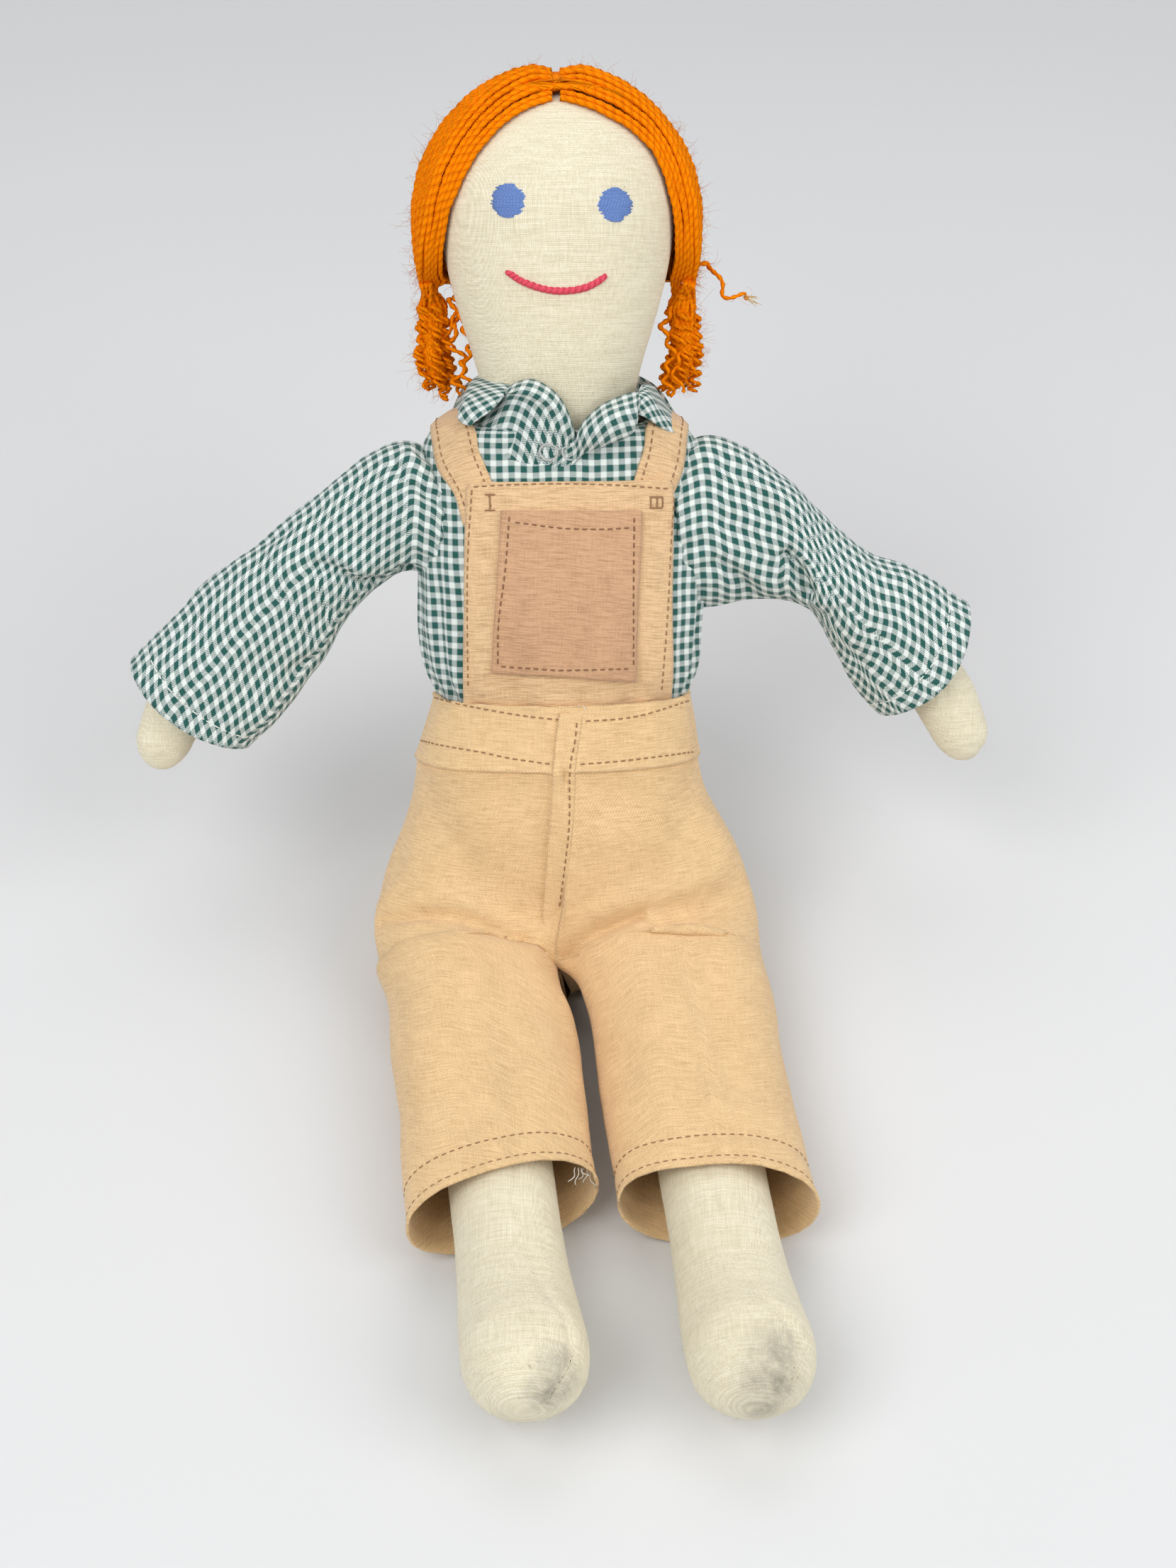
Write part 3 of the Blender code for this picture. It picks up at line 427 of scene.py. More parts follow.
def tube_arrays(path, radius, sides, taper=None, twist=0.0, lobe=0.0):
    """Vertices, faces and UVs of a thread along a path of places; a twist and a lobe make it two-ply."""
    count = len(path)
    vertices, faces, flats = [], [], []
    heading = (path[1] - path[0]).normalized()
    side = heading.orthogonal().normalized()
    walked = 0.0
    for index, place in enumerate(path):
        if index:
            walked += (place - path[index - 1]).length
        following = path[min(index + 1, count - 1)] - path[max(index - 1, 0)]
        if following.length > 1e-9:
            heading = following.normalized()
        side = (side - heading * side.dot(heading)).normalized()
        rise = heading.cross(side)
        size = radius * (taper(index / (count - 1)) if taper else 1.0)
        for step in range(sides):
            turn = math.tau * step / sides
            spun_turn = turn + math.tau * twist * walked
            reach = size * (1.0 + lobe * math.cos(2.0 * turn))
            vertices.append(place + (side * math.cos(spun_turn) + rise * math.sin(spun_turn)) * reach)
        if index:
            base = (index - 1) * sides
            length = (place - path[index - 1]).length
            for step in range(sides):
                after = (step + 1) % sides
                faces.append((base + step, base + after, base + sides + after, base + sides + step))
                low, high = step / sides, (step + 1) / sides
                start = walked - length
                flats.append(((low, start), (high, start), (high, walked), (low, walked)))
    faces.append(tuple(reversed(range(sides))))
    flats.append(tuple((0.0, 0.0) for _ in range(sides)))
    end = (count - 1) * sides
    faces.append(tuple(range(end, end + sides)))
    flats.append(tuple((0.0, walked) for _ in range(sides)))
    return vertices, faces, flats


def thread_piece(name, paths, radius, shade, sides=6, taper=None, twist=0.0, lobe=0.0):
    """One piece of many threads, each a closed tube along its own path."""
    vertices, faces, flats = [], [], []
    for path in paths:
        own_vertices, own_faces, own_flats = tube_arrays(path, radius, sides, taper, twist, lobe)
        base = len(vertices)
        vertices.extend(own_vertices)
        faces.extend(tuple(base + index for index in face) for face in own_faces)
        flats.extend(own_flats)
    mesh = bpy.data.meshes.new(name)
    mesh.from_pydata([tuple(vertex) for vertex in vertices], [], faces)
    layer = mesh.uv_layers.new(name="thread")
    for face, flat in zip(mesh.polygons, flats):
        for loop, place in zip(face.loop_indices, flat):
            layer.data[loop].uv = place
    piece = bpy.data.objects.new(name, mesh)
    bpy.context.scene.collection.objects.link(piece)
    mesh.materials.append(shade)
    mesh.shade_smooth()
    return piece


def stitches_along(line, spacing=stitch_spacing, length=stitch_length):
    """Short sewn stitches along a line of (place, normal) pairs, their ends sunk in the cloth."""
    threads = []
    walked, due = 0.0, spacing / 2
    for (start, start_out), (end, end_out) in zip(line, line[1:]):
        step = (end - start).length
        while step > 1e-9 and due <= walked + step:
            part = (due - walked) / step
            middle = start.lerp(end, part)
            out = start_out.lerp(end_out, part).normalized()
            way = (end - start).normalized()
            size = length * chance.uniform(0.92, 1.06)
            sag = stitch_radius * 1.5
            threads.append([
                middle - way * size * 0.5 - out * sag,
                middle - way * size * 0.36 + out * stitch_radius * 0.1,
                middle + out * stitch_radius * 0.35,
                middle + way * size * 0.36 + out * stitch_radius * 0.1,
                middle + way * size * 0.5 - out * sag,
            ])
            due += spacing
        walked += step
    return threads


def sew(name, lines, thread, body, spacing=stitch_spacing, length=stitch_length, cloth="twill"):
    """One piece of topstitching along several lines."""
    threads = [stitch for line in lines for stitch in stitches_along(line, spacing, length)]
    stitching = thread_piece(name, threads, stitch_radius, thread, 6)
    dress(stitching, cloth, body)
    return stitching


def grid_line(points, normals, places, lift=0.0, steps=90):
    """A line over a laid cloth through (across, along) shares."""
    line = []
    for index in range(steps + 1):
        share = index / steps * (len(places) - 1)
        start = min(int(share), len(places) - 2)
        part = share - start
        across = places[start][0] * (1 - part) + places[start + 1][0] * part
        along = places[start][1] * (1 - part) + places[start + 1][1] * part
        line.append(on_grid(points, normals, across, along, lift))
    return line


# Finishes

def new_finish(name, roughness, sheen=0.0, shine=0.25):
    """An empty node material with its shader."""
    shade = bpy.data.materials.new(name)
    shade.use_nodes = True
    tree = shade.node_tree
    shader = tree.nodes["Principled BSDF"]
    shader.inputs["Roughness"].default_value = roughness
    shader.inputs["Specular IOR Level"].default_value = shine
    if sheen:
        shader.inputs["Sheen Weight"].default_value = sheen
        shader.inputs["Sheen Roughness"].default_value = 0.5
    return shade, tree, shader


def sums(tree, operation, first, second=None, third=None):
    """A math node fed by sockets or numbers."""
    node = tree.nodes.new("ShaderNodeMath")
    node.operation = operation
    for index, value in enumerate((first, second, third)):
        if value is None:
            continue
        if hasattr(value, "is_output"):
            tree.links.new(value, node.inputs[index])
        else:
            node.inputs[index].default_value = value
    return node.outputs[0]


def mixed(tree, share, first, second):
    """A colour between two colours or sockets."""
    node = tree.nodes.new("ShaderNodeMix")
    node.data_type = "RGBA"
    for socket, value in ((node.inputs[0], share), (node.inputs[6], first), (node.inputs[7], second)):
        if hasattr(value, "is_output"):
            tree.links.new(value, socket)
        elif isinstance(value, tuple):
            socket.default_value = (*value, 1.0)
        else:
            socket.default_value = value
    return node.outputs[2]


def noise_value(tree, coordinates, scale, detail=2.0, roughness=0.5):
    """Noise over given coordinates, 0 to 1."""
    node = tree.nodes.new("ShaderNodeTexNoise")
    node.inputs["Scale"].default_value = scale
    node.inputs["Detail"].default_value = detail
    node.inputs["Roughness"].default_value = roughness
    tree.links.new(coordinates, node.inputs["Vector"])
    return node.outputs["Fac"]


def turned_places(tree, rotation):
    """Object places turned to a piece's own grain."""
    places = tree.nodes.new("ShaderNodeTexCoord")
    mapping = tree.nodes.new("ShaderNodeMapping")
    mapping.vector_type = "TEXTURE"
    tree.links.new(rotation, mapping.inputs["Rotation"])
    tree.links.new(places.outputs["Object"], mapping.inputs["Vector"])
    return mapping.outputs["Vector"]


def own_places(tree):
    """A piece's own places, in metres."""
    return tree.nodes.new("ShaderNodeTexCoord").outputs["Object"]


def stretched(tree, coordinates, scale):
    """Coordinates multiplied along each axis."""
    node = tree.nodes.new("ShaderNodeVectorMath")
    node.operation = "MULTIPLY"
    tree.links.new(coordinates, node.inputs[0])
    node.inputs[1].default_value = scale
    return node.outputs[0]


def split(tree, coordinates):
    """The three numbers of a place."""
    node = tree.nodes.new("ShaderNodeSeparateXYZ")
    tree.links.new(coordinates, node.inputs[0])
    return node.outputs


def relief(tree, height, strength, distance):
    """A normal raised by a height."""
    bump = tree.nodes.new("ShaderNodeBump")
    bump.inputs["Strength"].default_value = strength
    if hasattr(distance, "is_output"):
        tree.links.new(distance, bump.inputs["Distance"])
    else:
        bump.inputs["Distance"].default_value = distance
    tree.links.new(height, bump.inputs["Height"])
    return bump.outputs["Normal"]


def clamped(tree, value):
    """A value kept between 0 and 1."""
    limit = tree.nodes.new("ShaderNodeClamp")
    tree.links.new(value, limit.inputs["Value"])
    return limit.outputs["Result"]


def uv_places(tree, layer):
    """A named UV map's coordinates."""
    node = tree.nodes.new("ShaderNodeUVMap")
    node.uv_map = layer
    return node.outputs["UV"]


def new_effect(name, inputs):
    """A shared effect: a node group with named inputs that puts out a colour and a normal."""
    group = bpy.data.node_groups.new(name, "ShaderNodeTree")
    for label, kind, value in inputs:
        socket = group.interface.new_socket(name=label, in_out="INPUT", socket_type="NodeSocket" + kind)
        socket.default_value = value
    group.interface.new_socket(name="Color", in_out="OUTPUT", socket_type="NodeSocketColor")
    group.interface.new_socket(name="Normal", in_out="OUTPUT", socket_type="NodeSocketVector")
    return group, group.nodes.new("NodeGroupInput").outputs, group.nodes.new("NodeGroupOutput").inputs


def use_effect(tree, effect, values):
    """An effect's node in a material, with its inputs set."""
    node = tree.nodes.new("ShaderNodeGroup")
    node.node_tree = effect
    for label, value in values.items():
        node.inputs[label].default_value = value
    return node.outputs


def from_effect(name, effect, roughness, sheen, shine, values):
    """A material whose colour and relief come from one effect."""
    shade, tree, shader = new_finish(name, roughness, sheen, shine)
    found = use_effect(tree, effect, values)
    tree.links.new(found["Color"], shader.inputs["Base Color"])
    tree.links.new(found["Normal"], shader.inputs["Normal"])
    return shade


def calico_effect():
    """Unbleached cotton: a fine open weave with slubs and a few seed flecks."""
    tree, given, result = new_effect("calico_weave", (("Turn", "Vector", (0.0, 0.0, 0.0)),))
    places = turned_places(tree, given["Turn"])
    x, y, z = split(tree, places)
    wander = noise_value(tree, places, 160.0, 2.0)
    slant = sums(tree, "ADD", x, y)
    threads = []
    for run, spacing in zip((slant, z), calico_threads):
        bent = sums(tree, "MULTIPLY", wander, 7.0)
        phase = sums(tree, "ADD", sums(tree, "MULTIPLY", run, math.tau / spacing), bent)
        threads.append(sums(tree, "SINE", phase))
    weave = sums(tree, "MULTIPLY_ADD", sums(tree, "MAXIMUM", *threads), 0.5, 0.5)
    upright = noise_value(tree, stretched(tree, places, (2200.0, 2200.0, 80.0)), 1.0, 3.0, 0.65)
    level = noise_value(tree, stretched(tree, places, (100.0, 100.0, 2000.0)), 1.0, 3.0, 0.65)
    slubs = sums(tree, "SUBTRACT", sums(tree, "ADD", upright, level), 0.90)
    cloud = noise_value(tree, places, 38.0, 3.0)
    flecks = noise_value(tree, stretched(tree, places, (700.0, 700.0, 420.0)), 1.0, 2.0, 0.4)
    fleck_mask = sums(tree, "MULTIPLY", sums(tree, "MAXIMUM", sums(tree, "SUBTRACT", flecks, 0.72), 0.0), 5.0)
    share = sums(tree, "MULTIPLY_ADD", slubs, 2.1, sums(tree, "MULTIPLY", weave, -0.30))
    share = clamped(tree, sums(tree, "ADD", share, 0.46))
    tone = mixed(tree, share, (0.940, 0.872, 0.668), (0.725, 0.636, 0.438))
    tone = mixed(tree, sums(tree, "MULTIPLY", cloud, 0.30), tone, (0.83, 0.76, 0.56))
    tree.links.new(mixed(tree, fleck_mask, tone, (0.42, 0.34, 0.24)), result["Color"])
    height = sums(tree, "ADD", sums(tree, "MULTIPLY", weave, 0.8), sums(tree, "MULTIPLY", slubs, 1.4))
    tree.links.new(relief(tree, height, 0.7, 0.00024), result["Normal"])
    return tree


def calico_with_grey_patches(name, effect, turn, grey_patches):
    """Calico darkened towards grey-brown in given patches, each a place, a radius and a strength."""
    shade, tree, shader = new_finish(name, 0.92, 0.2)
    found = use_effect(tree, effect, {"Turn": turn})
    places = own_places(tree)
    patchy = noise_value(tree, places, 260.0, 4.0, 0.6)
    greyed_share = None
    for place, radius, strength in grey_patches:
        gap = tree.nodes.new("ShaderNodeVectorMath")
        gap.operation = "DISTANCE"
        tree.links.new(places, gap.inputs[0])
        gap.inputs[1].default_value = place
        near = clamped(tree, sums(tree, "SUBTRACT", 1.0, sums(tree, "DIVIDE", gap.outputs["Value"], radius)))
        near = sums(tree, "MULTIPLY", near, strength)
        greyed_share = near if greyed_share is None else sums(tree, "MAXIMUM", greyed_share, near)
    greyed_share = clamped(tree, sums(tree, "MULTIPLY", greyed_share, sums(tree, "MULTIPLY_ADD", patchy, 2.0, -0.2)))
    # The given patches on the toes are darkened towards grey-brown, broken up by noise.
    tree.links.new(mixed(tree, greyed_share, found["Color"], (0.30, 0.27, 0.22)), shader.inputs["Base Color"])
    tree.links.new(found["Normal"], shader.inputs["Normal"])
    return shade


def woven_over(tree, across, along, thread):
    """Which thread is on top in a plain weave: 0 or 1."""
    warp = sums(tree, "FLOOR", sums(tree, "DIVIDE", across, thread))
    weft = sums(tree, "FLOOR", sums(tree, "DIVIDE", along, thread))
    return sums(tree, "PINGPONG", sums(tree, "ADD", warp, weft), 1.0)


def gingham():
    """Green and white yarn-dyed check, mottled where the colours cross."""
    shade, tree, shader = new_finish("gingham_cotton", 0.9, 0.15)
    flat = uv_places(tree, "cloth")
    across, along, _ = split(tree, flat)
    over = woven_over(tree, across, along, gingham_thread)
    stripes = []
    for value in (across, along):
        wobble = noise_value(tree, stretched(tree, flat, (260.0, 260.0, 1.0)), 1.0, 1.0)
        moved = sums(tree, "MULTIPLY_ADD", wobble, 0.00035, value)
        share = sums(tree, "FRACT", sums(tree, "DIVIDE", moved, gingham_period))
        ramp = sums(tree, "SUBTRACT", sums(tree, "ABSOLUTE", sums(tree, "SUBTRACT", share, 0.5)), 0.233)
        stripes.append(clamped(tree, sums(tree, "MULTIPLY_ADD", ramp, 16.0, 0.5)))
    fibre = noise_value(tree, stretched(tree, flat, (2300.0, 2300.0, 1.0)), 1.0, 2.0)
    pick_share = sums(tree, "MULTIPLY", sums(tree, "SUBTRACT", fibre, 0.24), 0.72)
    pick_share = clamped(tree, sums(tree, "MULTIPLY_ADD", over, 0.62, pick_share))
    green_share = tree.nodes.new("ShaderNodeMix")
    tree.links.new(pick_share, green_share.inputs[0])
    tree.links.new(stripes[0], green_share.inputs[2])
    tree.links.new(stripes[1], green_share.inputs[3])
    greens = mixed(tree, fibre, (0.009, 0.068, 0.060), (0.030, 0.138, 0.116))
    whites = mixed(tree, fibre, (0.69, 0.74, 0.70), (0.87, 0.91, 0.87))
    tone = mixed(tree, green_share.outputs[0], whites, greens)
    tree.links.new(tone, shader.inputs["Base Color"])
    height = sums(tree, "MULTIPLY_ADD", over, 0.4, fibre)
    tree.links.new(relief(tree, height, 0.6, 0.00013), shader.inputs["Normal"])
    return shade


def twill_effect():
    """Cotton drill: fine steep diagonal ribs, weft slubs and a soft bloom."""
    tree, given, result = new_effect("twill_weave", (
        ("Light", "Color", (1.0, 1.0, 1.0, 1.0)), ("Dark", "Color", (0.5, 0.5, 0.5, 1.0)),
        ("Ribs", "Float", 0.3), ("Slubs", "Float", 1.0),
    ))
    flat = uv_places(tree, "cloth")
    across, along, _ = split(tree, flat)
    wander = noise_value(tree, stretched(tree, flat, (420.0, 420.0, 1.0)), 1.0, 2.0)
    slope = sums(tree, "MULTIPLY_ADD", across, 0.82, along)
    phase = sums(tree, "MULTIPLY_ADD", wander, 4.0, sums(tree, "MULTIPLY", slope, math.tau / drill_rib))
    ribs = sums(tree, "MULTIPLY_ADD", sums(tree, "SINE", phase), 0.5, 0.5)
    level = noise_value(tree, stretched(tree, flat, (120.0, 1900.0, 1.0)), 1.0, 3.0, 0.7)
    upright = noise_value(tree, stretched(tree, flat, (2300.0, 140.0, 1.0)), 1.0, 2.0, 0.6)
    grain = noise_value(tree, stretched(tree, flat, (2600.0, 2600.0, 1.0)), 1.0, 2.0)
    cloud = noise_value(tree, stretched(tree, flat, (45.0, 45.0, 1.0)), 1.0, 3.0)
    slubs = sums(tree, "MULTIPLY", given["Slubs"], 2.3)
    share = sums(tree, "MULTIPLY", sums(tree, "SUBTRACT", level, 0.5), slubs)
    share = sums(tree, "MULTIPLY_ADD", sums(tree, "SUBTRACT", upright, 0.5), 0.9, share)
    share = sums(tree, "ADD", share, sums(tree, "MULTIPLY", sums(tree, "SUBTRACT", ribs, 0.5), given["Ribs"]))
    share = sums(tree, "MULTIPLY_ADD", sums(tree, "SUBTRACT", grain, 0.5), 1.1, share)
    share = sums(tree, "MULTIPLY_ADD", sums(tree, "SUBTRACT", cloud, 0.5), 0.5, share)
    share = clamped(tree, sums(tree, "ADD", share, 0.34))
    tree.links.new(mixed(tree, share, given["Light"], given["Dark"]), result["Color"])
    lowered = sums(tree, "MULTIPLY", ribs, sums(tree, "MULTIPLY", given["Ribs"], -2.4))
    height = sums(tree, "SUBTRACT", sums(tree, "ADD", level, grain), lowered)
    tree.links.new(relief(tree, height, 0.7, 0.00020), result["Normal"])
    return tree


def spun_effect():
    """Thread or yarn: plies wound round each other, with painted shade in the grooves between them, and loose
    fibres.
    """
    tree, given, result = new_effect("spun_thread", (
        ("Light", "Color", (1.0, 1.0, 1.0, 1.0)), ("Dark", "Color", (0.5, 0.5, 0.5, 1.0)),
        ("Pitch", "Float", 0.001), ("Depth", "Float", 0.0001),
    ))
    around, along, _ = split(tree, uv_places(tree, "thread"))
    phase = sums(tree, "MULTIPLY_ADD", around, 2.0, sums(tree, "DIVIDE", along, given["Pitch"]))
    ply = sums(tree, "ABSOLUTE", sums(tree, "SINE", sums(tree, "MULTIPLY", phase, math.pi)))
    places = own_places(tree)
    fibre = noise_value(tree, places, 2600.0, 3.0, 0.7)
    cloud = noise_value(tree, places, 120.0, 2.0)
    fuzz = sums(tree, "MULTIPLY", fibre, 0.5)
    # Painted shade: the grooves between plies, where the relief is low, take the dark tone.
    share = sums(tree, "MULTIPLY_ADD", sums(tree, "POWER", ply, 0.7), 0.75, fuzz)
    share = clamped(tree, sums(tree, "MULTIPLY_ADD", cloud, -0.3, share))
    tree.links.new(mixed(tree, share, given["Dark"], given["Light"]), result["Color"])
    height = sums(tree, "MULTIPLY_ADD", fibre, 0.4, ply)
    tree.links.new(relief(tree, height, 0.8, given["Depth"]), result["Normal"])
    return tree


calico_weave, twill_weave, spun_thread = calico_effect(), twill_effect(), spun_effect()


def drill_cloth(name, light, dark, ribs, slubs):
    """Dungaree drill in its two tones."""
    values = {"Light": (*light, 1.0), "Dark": (*dark, 1.0), "Ribs": ribs, "Slubs": slubs}
    return from_effect(name, twill_weave, 0.85, 0.25, 0.2, values)


def spun(name, light, dark, pitch, depth, roughness=0.75, sheen=0.0, shine=0.15):
    """Thread or yarn in its two tones; the dark one also stands for painted shade in the grooves between plies.
    """
    values = {"Light": (*light, 1.0), "Dark": (*dark, 1.0), "Pitch": pitch, "Depth": depth}
    return from_effect(name, spun_thread, roughness, sheen, shine, values)


def metal_wire():
    """Plated wire, a little dull and scratched."""
    shade, tree, shader = new_finish("plated_wire", 0.3)
    shader.inputs["Metallic"].default_value = 1.0
    wear = noise_value(tree, own_places(tree), 900.0, 3.0)
    tree.links.new(mixed(tree, wear, (0.62, 0.61, 0.59), (0.82, 0.81, 0.79)), shader.inputs["Base Color"])
    tree.links.new(sums(tree, "MULTIPLY_ADD", wear, 0.25, 0.18), shader.inputs["Roughness"])
    tree.links.new(relief(tree, wear, 0.2, 0.00005), shader.inputs["Normal"])
    return shade


# Each grey patch on a leg's toe: its place in the picture, its radius and its strength
toe_spots = {
    "leg_left": ((713.9, 1745.6, 0.010, 0.80), (703.2, 1776, 0.010, 0.95), (724.6, 1765.3, 0.008, 0.60)),
    "leg_right": ((992.8, 1725.9, 0.013, 0.80), (985.6, 1761.7, 0.014, 0.95), (974.9, 1797.4, 0.010, 0.90)),
}
toe_grey_patches = []
for leg, spots in toe_spots.items():
    for x, y, radius, strength in spots:
        toe_grey_patches.append((tuple(land(skin_of(leg), *sight(x, y))), radius, strength))
head_calico = from_effect("head_calico", calico_weave, 0.92, 0.2, 0.2, {"Turn": (-lean, 0.0, 0.0)})
limb_calico = calico_with_grey_patches("limb_calico", calico_weave, (math.radians(90.0), 0.0, 0.0), toe_grey_patches)
check = gingham()
drill = drill_cloth("tan_drill", (0.900, 0.630, 0.335), (0.600, 0.380, 0.180), 0.30, 1.0)
bib_drill = drill_cloth("bib_drill", (0.830, 0.572, 0.320), (0.537, 0.330, 0.169), 0.12, 1.5)
pocket_drill = drill_cloth("pocket_drill", (0.668, 0.402, 0.230), (0.434, 0.243, 0.126), 0.12, 1.3)
tan_thread = spun("tan_thread", (0.40, 0.235, 0.125), (0.20, 0.105, 0.055), 0.0006, 0.00005)
pocket_thread = spun("pocket_thread", (0.30, 0.160, 0.090), (0.15, 0.075, 0.042), 0.0006, 0.00005)
white_thread = spun("white_thread", (0.88, 0.88, 0.83), (0.60, 0.60, 0.54), 0.0006, 0.00005)
calico_thread = spun("calico_thread", (0.62, 0.54, 0.38), (0.36, 0.30, 0.20), 0.0006, 0.00005)
calico_fibre = spun("calico_fibre", (0.90, 0.86, 0.74), (0.74, 0.69, 0.55), 0.0006, 0.00005)
orange_yarn = spun("orange_yarn", (1.0, 0.292, 0.0), (0.88, 0.170, 0.0), 1.0, 0.0004, 0.8, 0.0, 0.06)
orange_fibre = spun(
    "orange_fibre", (0.95, 0.300, 0.010), (0.70, 0.150, 0.002), 0.0030, 0.0001, 0.8, 0.0, 0.06,
)
pale_fibre = spun("pale_fibre", (0.86, 0.62, 0.26), (0.60, 0.33, 0.08), 0.0030, 0.0001)
blue_silk = spun("blue_silk", (0.175, 0.290, 0.600), (0.075, 0.140, 0.380), 0.0011, 0.00008, 0.45, 0.0, 0.3)
red_silk = spun("red_silk", (0.82, 0.085, 0.140), (0.42, 0.020, 0.040), 0.0016, 0.00012, 0.5, 0.0, 0.25)
wire = metal_wire()


# Stuffed calico

def stuffed(name, node, body, voxel, shade, cap, even=8, subdivide=True):
    """A stuffed form: its CAD solid remeshed, evened, swollen by its stuffing and subdivided."""
    piece = bpy.data.objects.new(name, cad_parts[node].data.copy())
    bpy.context.scene.collection.objects.link(piece)
    piece.data.name = name
    piece.data.materials.clear()
    piece.data.materials.append(shade)
    pick(piece)
    bpy.ops.object.mode_set(mode="EDIT")
    bpy.ops.mesh.select_all(action="SELECT")
    bpy.ops.mesh.remove_doubles(threshold=1e-6)
    bpy.ops.object.mode_set(mode="OBJECT")
    remesh = piece.modifiers.new("remesh", "REMESH")
    remesh.mode = "VOXEL"
    remesh.voxel_size = voxel
    smooth = piece.modifiers.new("even", "SMOOTH")
    smooth.factor = 0.5
    smooth.iterations = even
    apply_all(piece)
    swell(piece, cap)
    if subdivide:
        finer = piece.modifiers.new("finer", "SUBSURF")
        finer.levels = 1
        finer.render_levels = 1
        apply_all(piece)
    pick(piece)
    bpy.ops.object.shade_smooth()
    dress(piece, "calico", body, node)
    return piece


# The cloth is pressed out on a form this many times larger, where the solver is steady
swell_scale, swell_frames = 12.0, 20


def swell(piece, cap):
    """Let the stuffing press the cloth out, with no point moving further than cap."""
    mesh = piece.data
    count = len(mesh.vertices)
    before = np.zeros(count * 3)
    mesh.vertices.foreach_get("co", before)
    mesh.transform(Matrix.Scale(swell_scale, 4))
    pick(piece)
    cloth = piece.modifiers.new("cloth", "CLOTH")
    cloth.settings.quality = 4
    cloth.settings.use_pressure = True
    cloth.settings.uniform_pressure_force = 4.0
    cloth.settings.effector_weights.gravity = 0.0
    cloth.settings.tension_stiffness = 40.0
    cloth.settings.compression_stiffness = 40.0
    cloth.point_cache.frame_start = 1
    cloth.point_cache.frame_end = swell_frames
    for step in range(1, swell_frames + 1):
        bpy.context.scene.frame_set(step)
    bpy.ops.object.modifier_apply(modifier="cloth")
    bpy.context.scene.frame_set(1)
    after = np.zeros(count * 3)
    mesh = piece.data
    mesh.vertices.foreach_get("co", after)
    move = (after / swell_scale - before).reshape(-1, 3)
    length = np.linalg.norm(move, axis=1, keepdims=True)
    move = move * np.minimum(1.0, cap / np.maximum(length, 1e-9))
    mesh.vertices.foreach_set("co", (before.reshape(-1, 3) + move).reshape(-1))
    mesh.update()


def draw_in(piece, amount, place, way, reach):
    """Draw a form in where clothes cover it: behind a place, along a way."""
    mesh = piece.data
    normals = [vertex.normal.copy() for vertex in mesh.vertices]
    for vertex, normal in zip(mesh.vertices, normals):
        covered = 1.0 - ease_step((vertex.co - place).dot(way), 0.0, reach)
        vertex.co -= normal * amount * covered


covered_depth = 0.0012
thigh_share, thigh_start, thigh_end = 0.66, 0.035, 0.100


def slim_thigh(piece, side):
    """Leave room in the trousers for the leg's swing: the hidden thigh thins towards the hip."""
    hip, way = leg_point(side, 0.0, 0.0, 0.0), leg_way(side)
    for vertex in piece.data.vertices:
        along = (vertex.co - hip).dot(way)
        middle = hip + way * along
        fullness = thigh_share + (1.0 - thigh_share) * ease_step(along, thigh_start, thigh_end)
        vertex.co = middle + (vertex.co - middle) * fullness


head = stuffed("stuffed_head", "head", "head", 0.0024, head_calico, 0.0006)
torso_stuffing = stuffed("stuffed_body", "body", "torso", 0.0036, head_calico, 0.0004, 6, False)
arms, legs = {}, {}
for side, name in ((-1, "left"), (1, "right")):
    arms[side] = stuffed("stuffed_arm_" + name, "arm_" + name, "arm_" + name, 0.0021, head_calico, 0.0005)
    legs[side] = stuffed("stuffed_leg_" + name, "leg_" + name, "leg_" + name, 0.0023, limb_calico, 0.0006)
    draw_in(legs[side], covered_depth, leg_point(side, 0.0, 0.085, 0.0), leg_way(side), 0.02)
    slim_thigh(legs[side], side)


def press_seam(piece, line, depth, width):
    """Sink a line of places into a stuffed form."""
    mesh = piece.data
    places = np.array([tuple(vertex.co) for vertex in mesh.vertices])
    normals = np.array([tuple(vertex.normal) for vertex in mesh.vertices])
    gap, _ = line_distance(places, line)
    places -= normals * (depth * np.exp(-(gap / width) ** 2))[:, None]
    mesh.vertices.foreach_set("co", places.reshape(-1))
    mesh.update()


def seam_line(tree, spots, lift=0.0, steps=60):
    """A line of (place, normal) pairs over a surface, through places of the picture."""
    line = []
    for index in range(steps + 1):
        place, out = seen_on(tree, *path_at(spots, index / steps)[:2])
        if place is not None:
            line.append((place + out * lift, out))
    return line


leg_seams = {
    -1: (
        (
            (653.8, 1486.4), (662.1, 1536.4), (671, 1572.2), (679.9, 1600.8), (690.7, 1636.6),
            (706.7, 1661.6), (719.3, 1674.1), (725.3, 1697.3), (729.3, 1729.5),
        ),
        ((729.3, 1729.5), (723.9, 1746.7), (708.5, 1770.6), (696.7, 1793.1)),
    ),
    1: (
        (
            (896.9, 1486.4), (914.1, 1536.4), (928.4, 1575.8), (942.7, 1608), (960.6, 1640.1),
            (985.6, 1663.4), (1003.5, 1683), (1016.4, 1711.6),
        ),
        ((1017.1, 1711.6), (1012.8, 1747.4), (1005.6, 1779.6), (998.5, 1811)),
    ),
}
hand_seams = {
    -1: ((264.5, 928.6), (253.6, 939.5), (244.3, 952.9), (231.8, 969)),
    1: ((1196.6, 871.9), (1220.1, 899.6), (1239.5, 924.5), (1250, 952.2), (1251.1, 961.9)),
}
seam_depth, seam_half_width = 0.0007, 0.0017
overcast_reach, overcast_sink = 0.00028, 0.00005
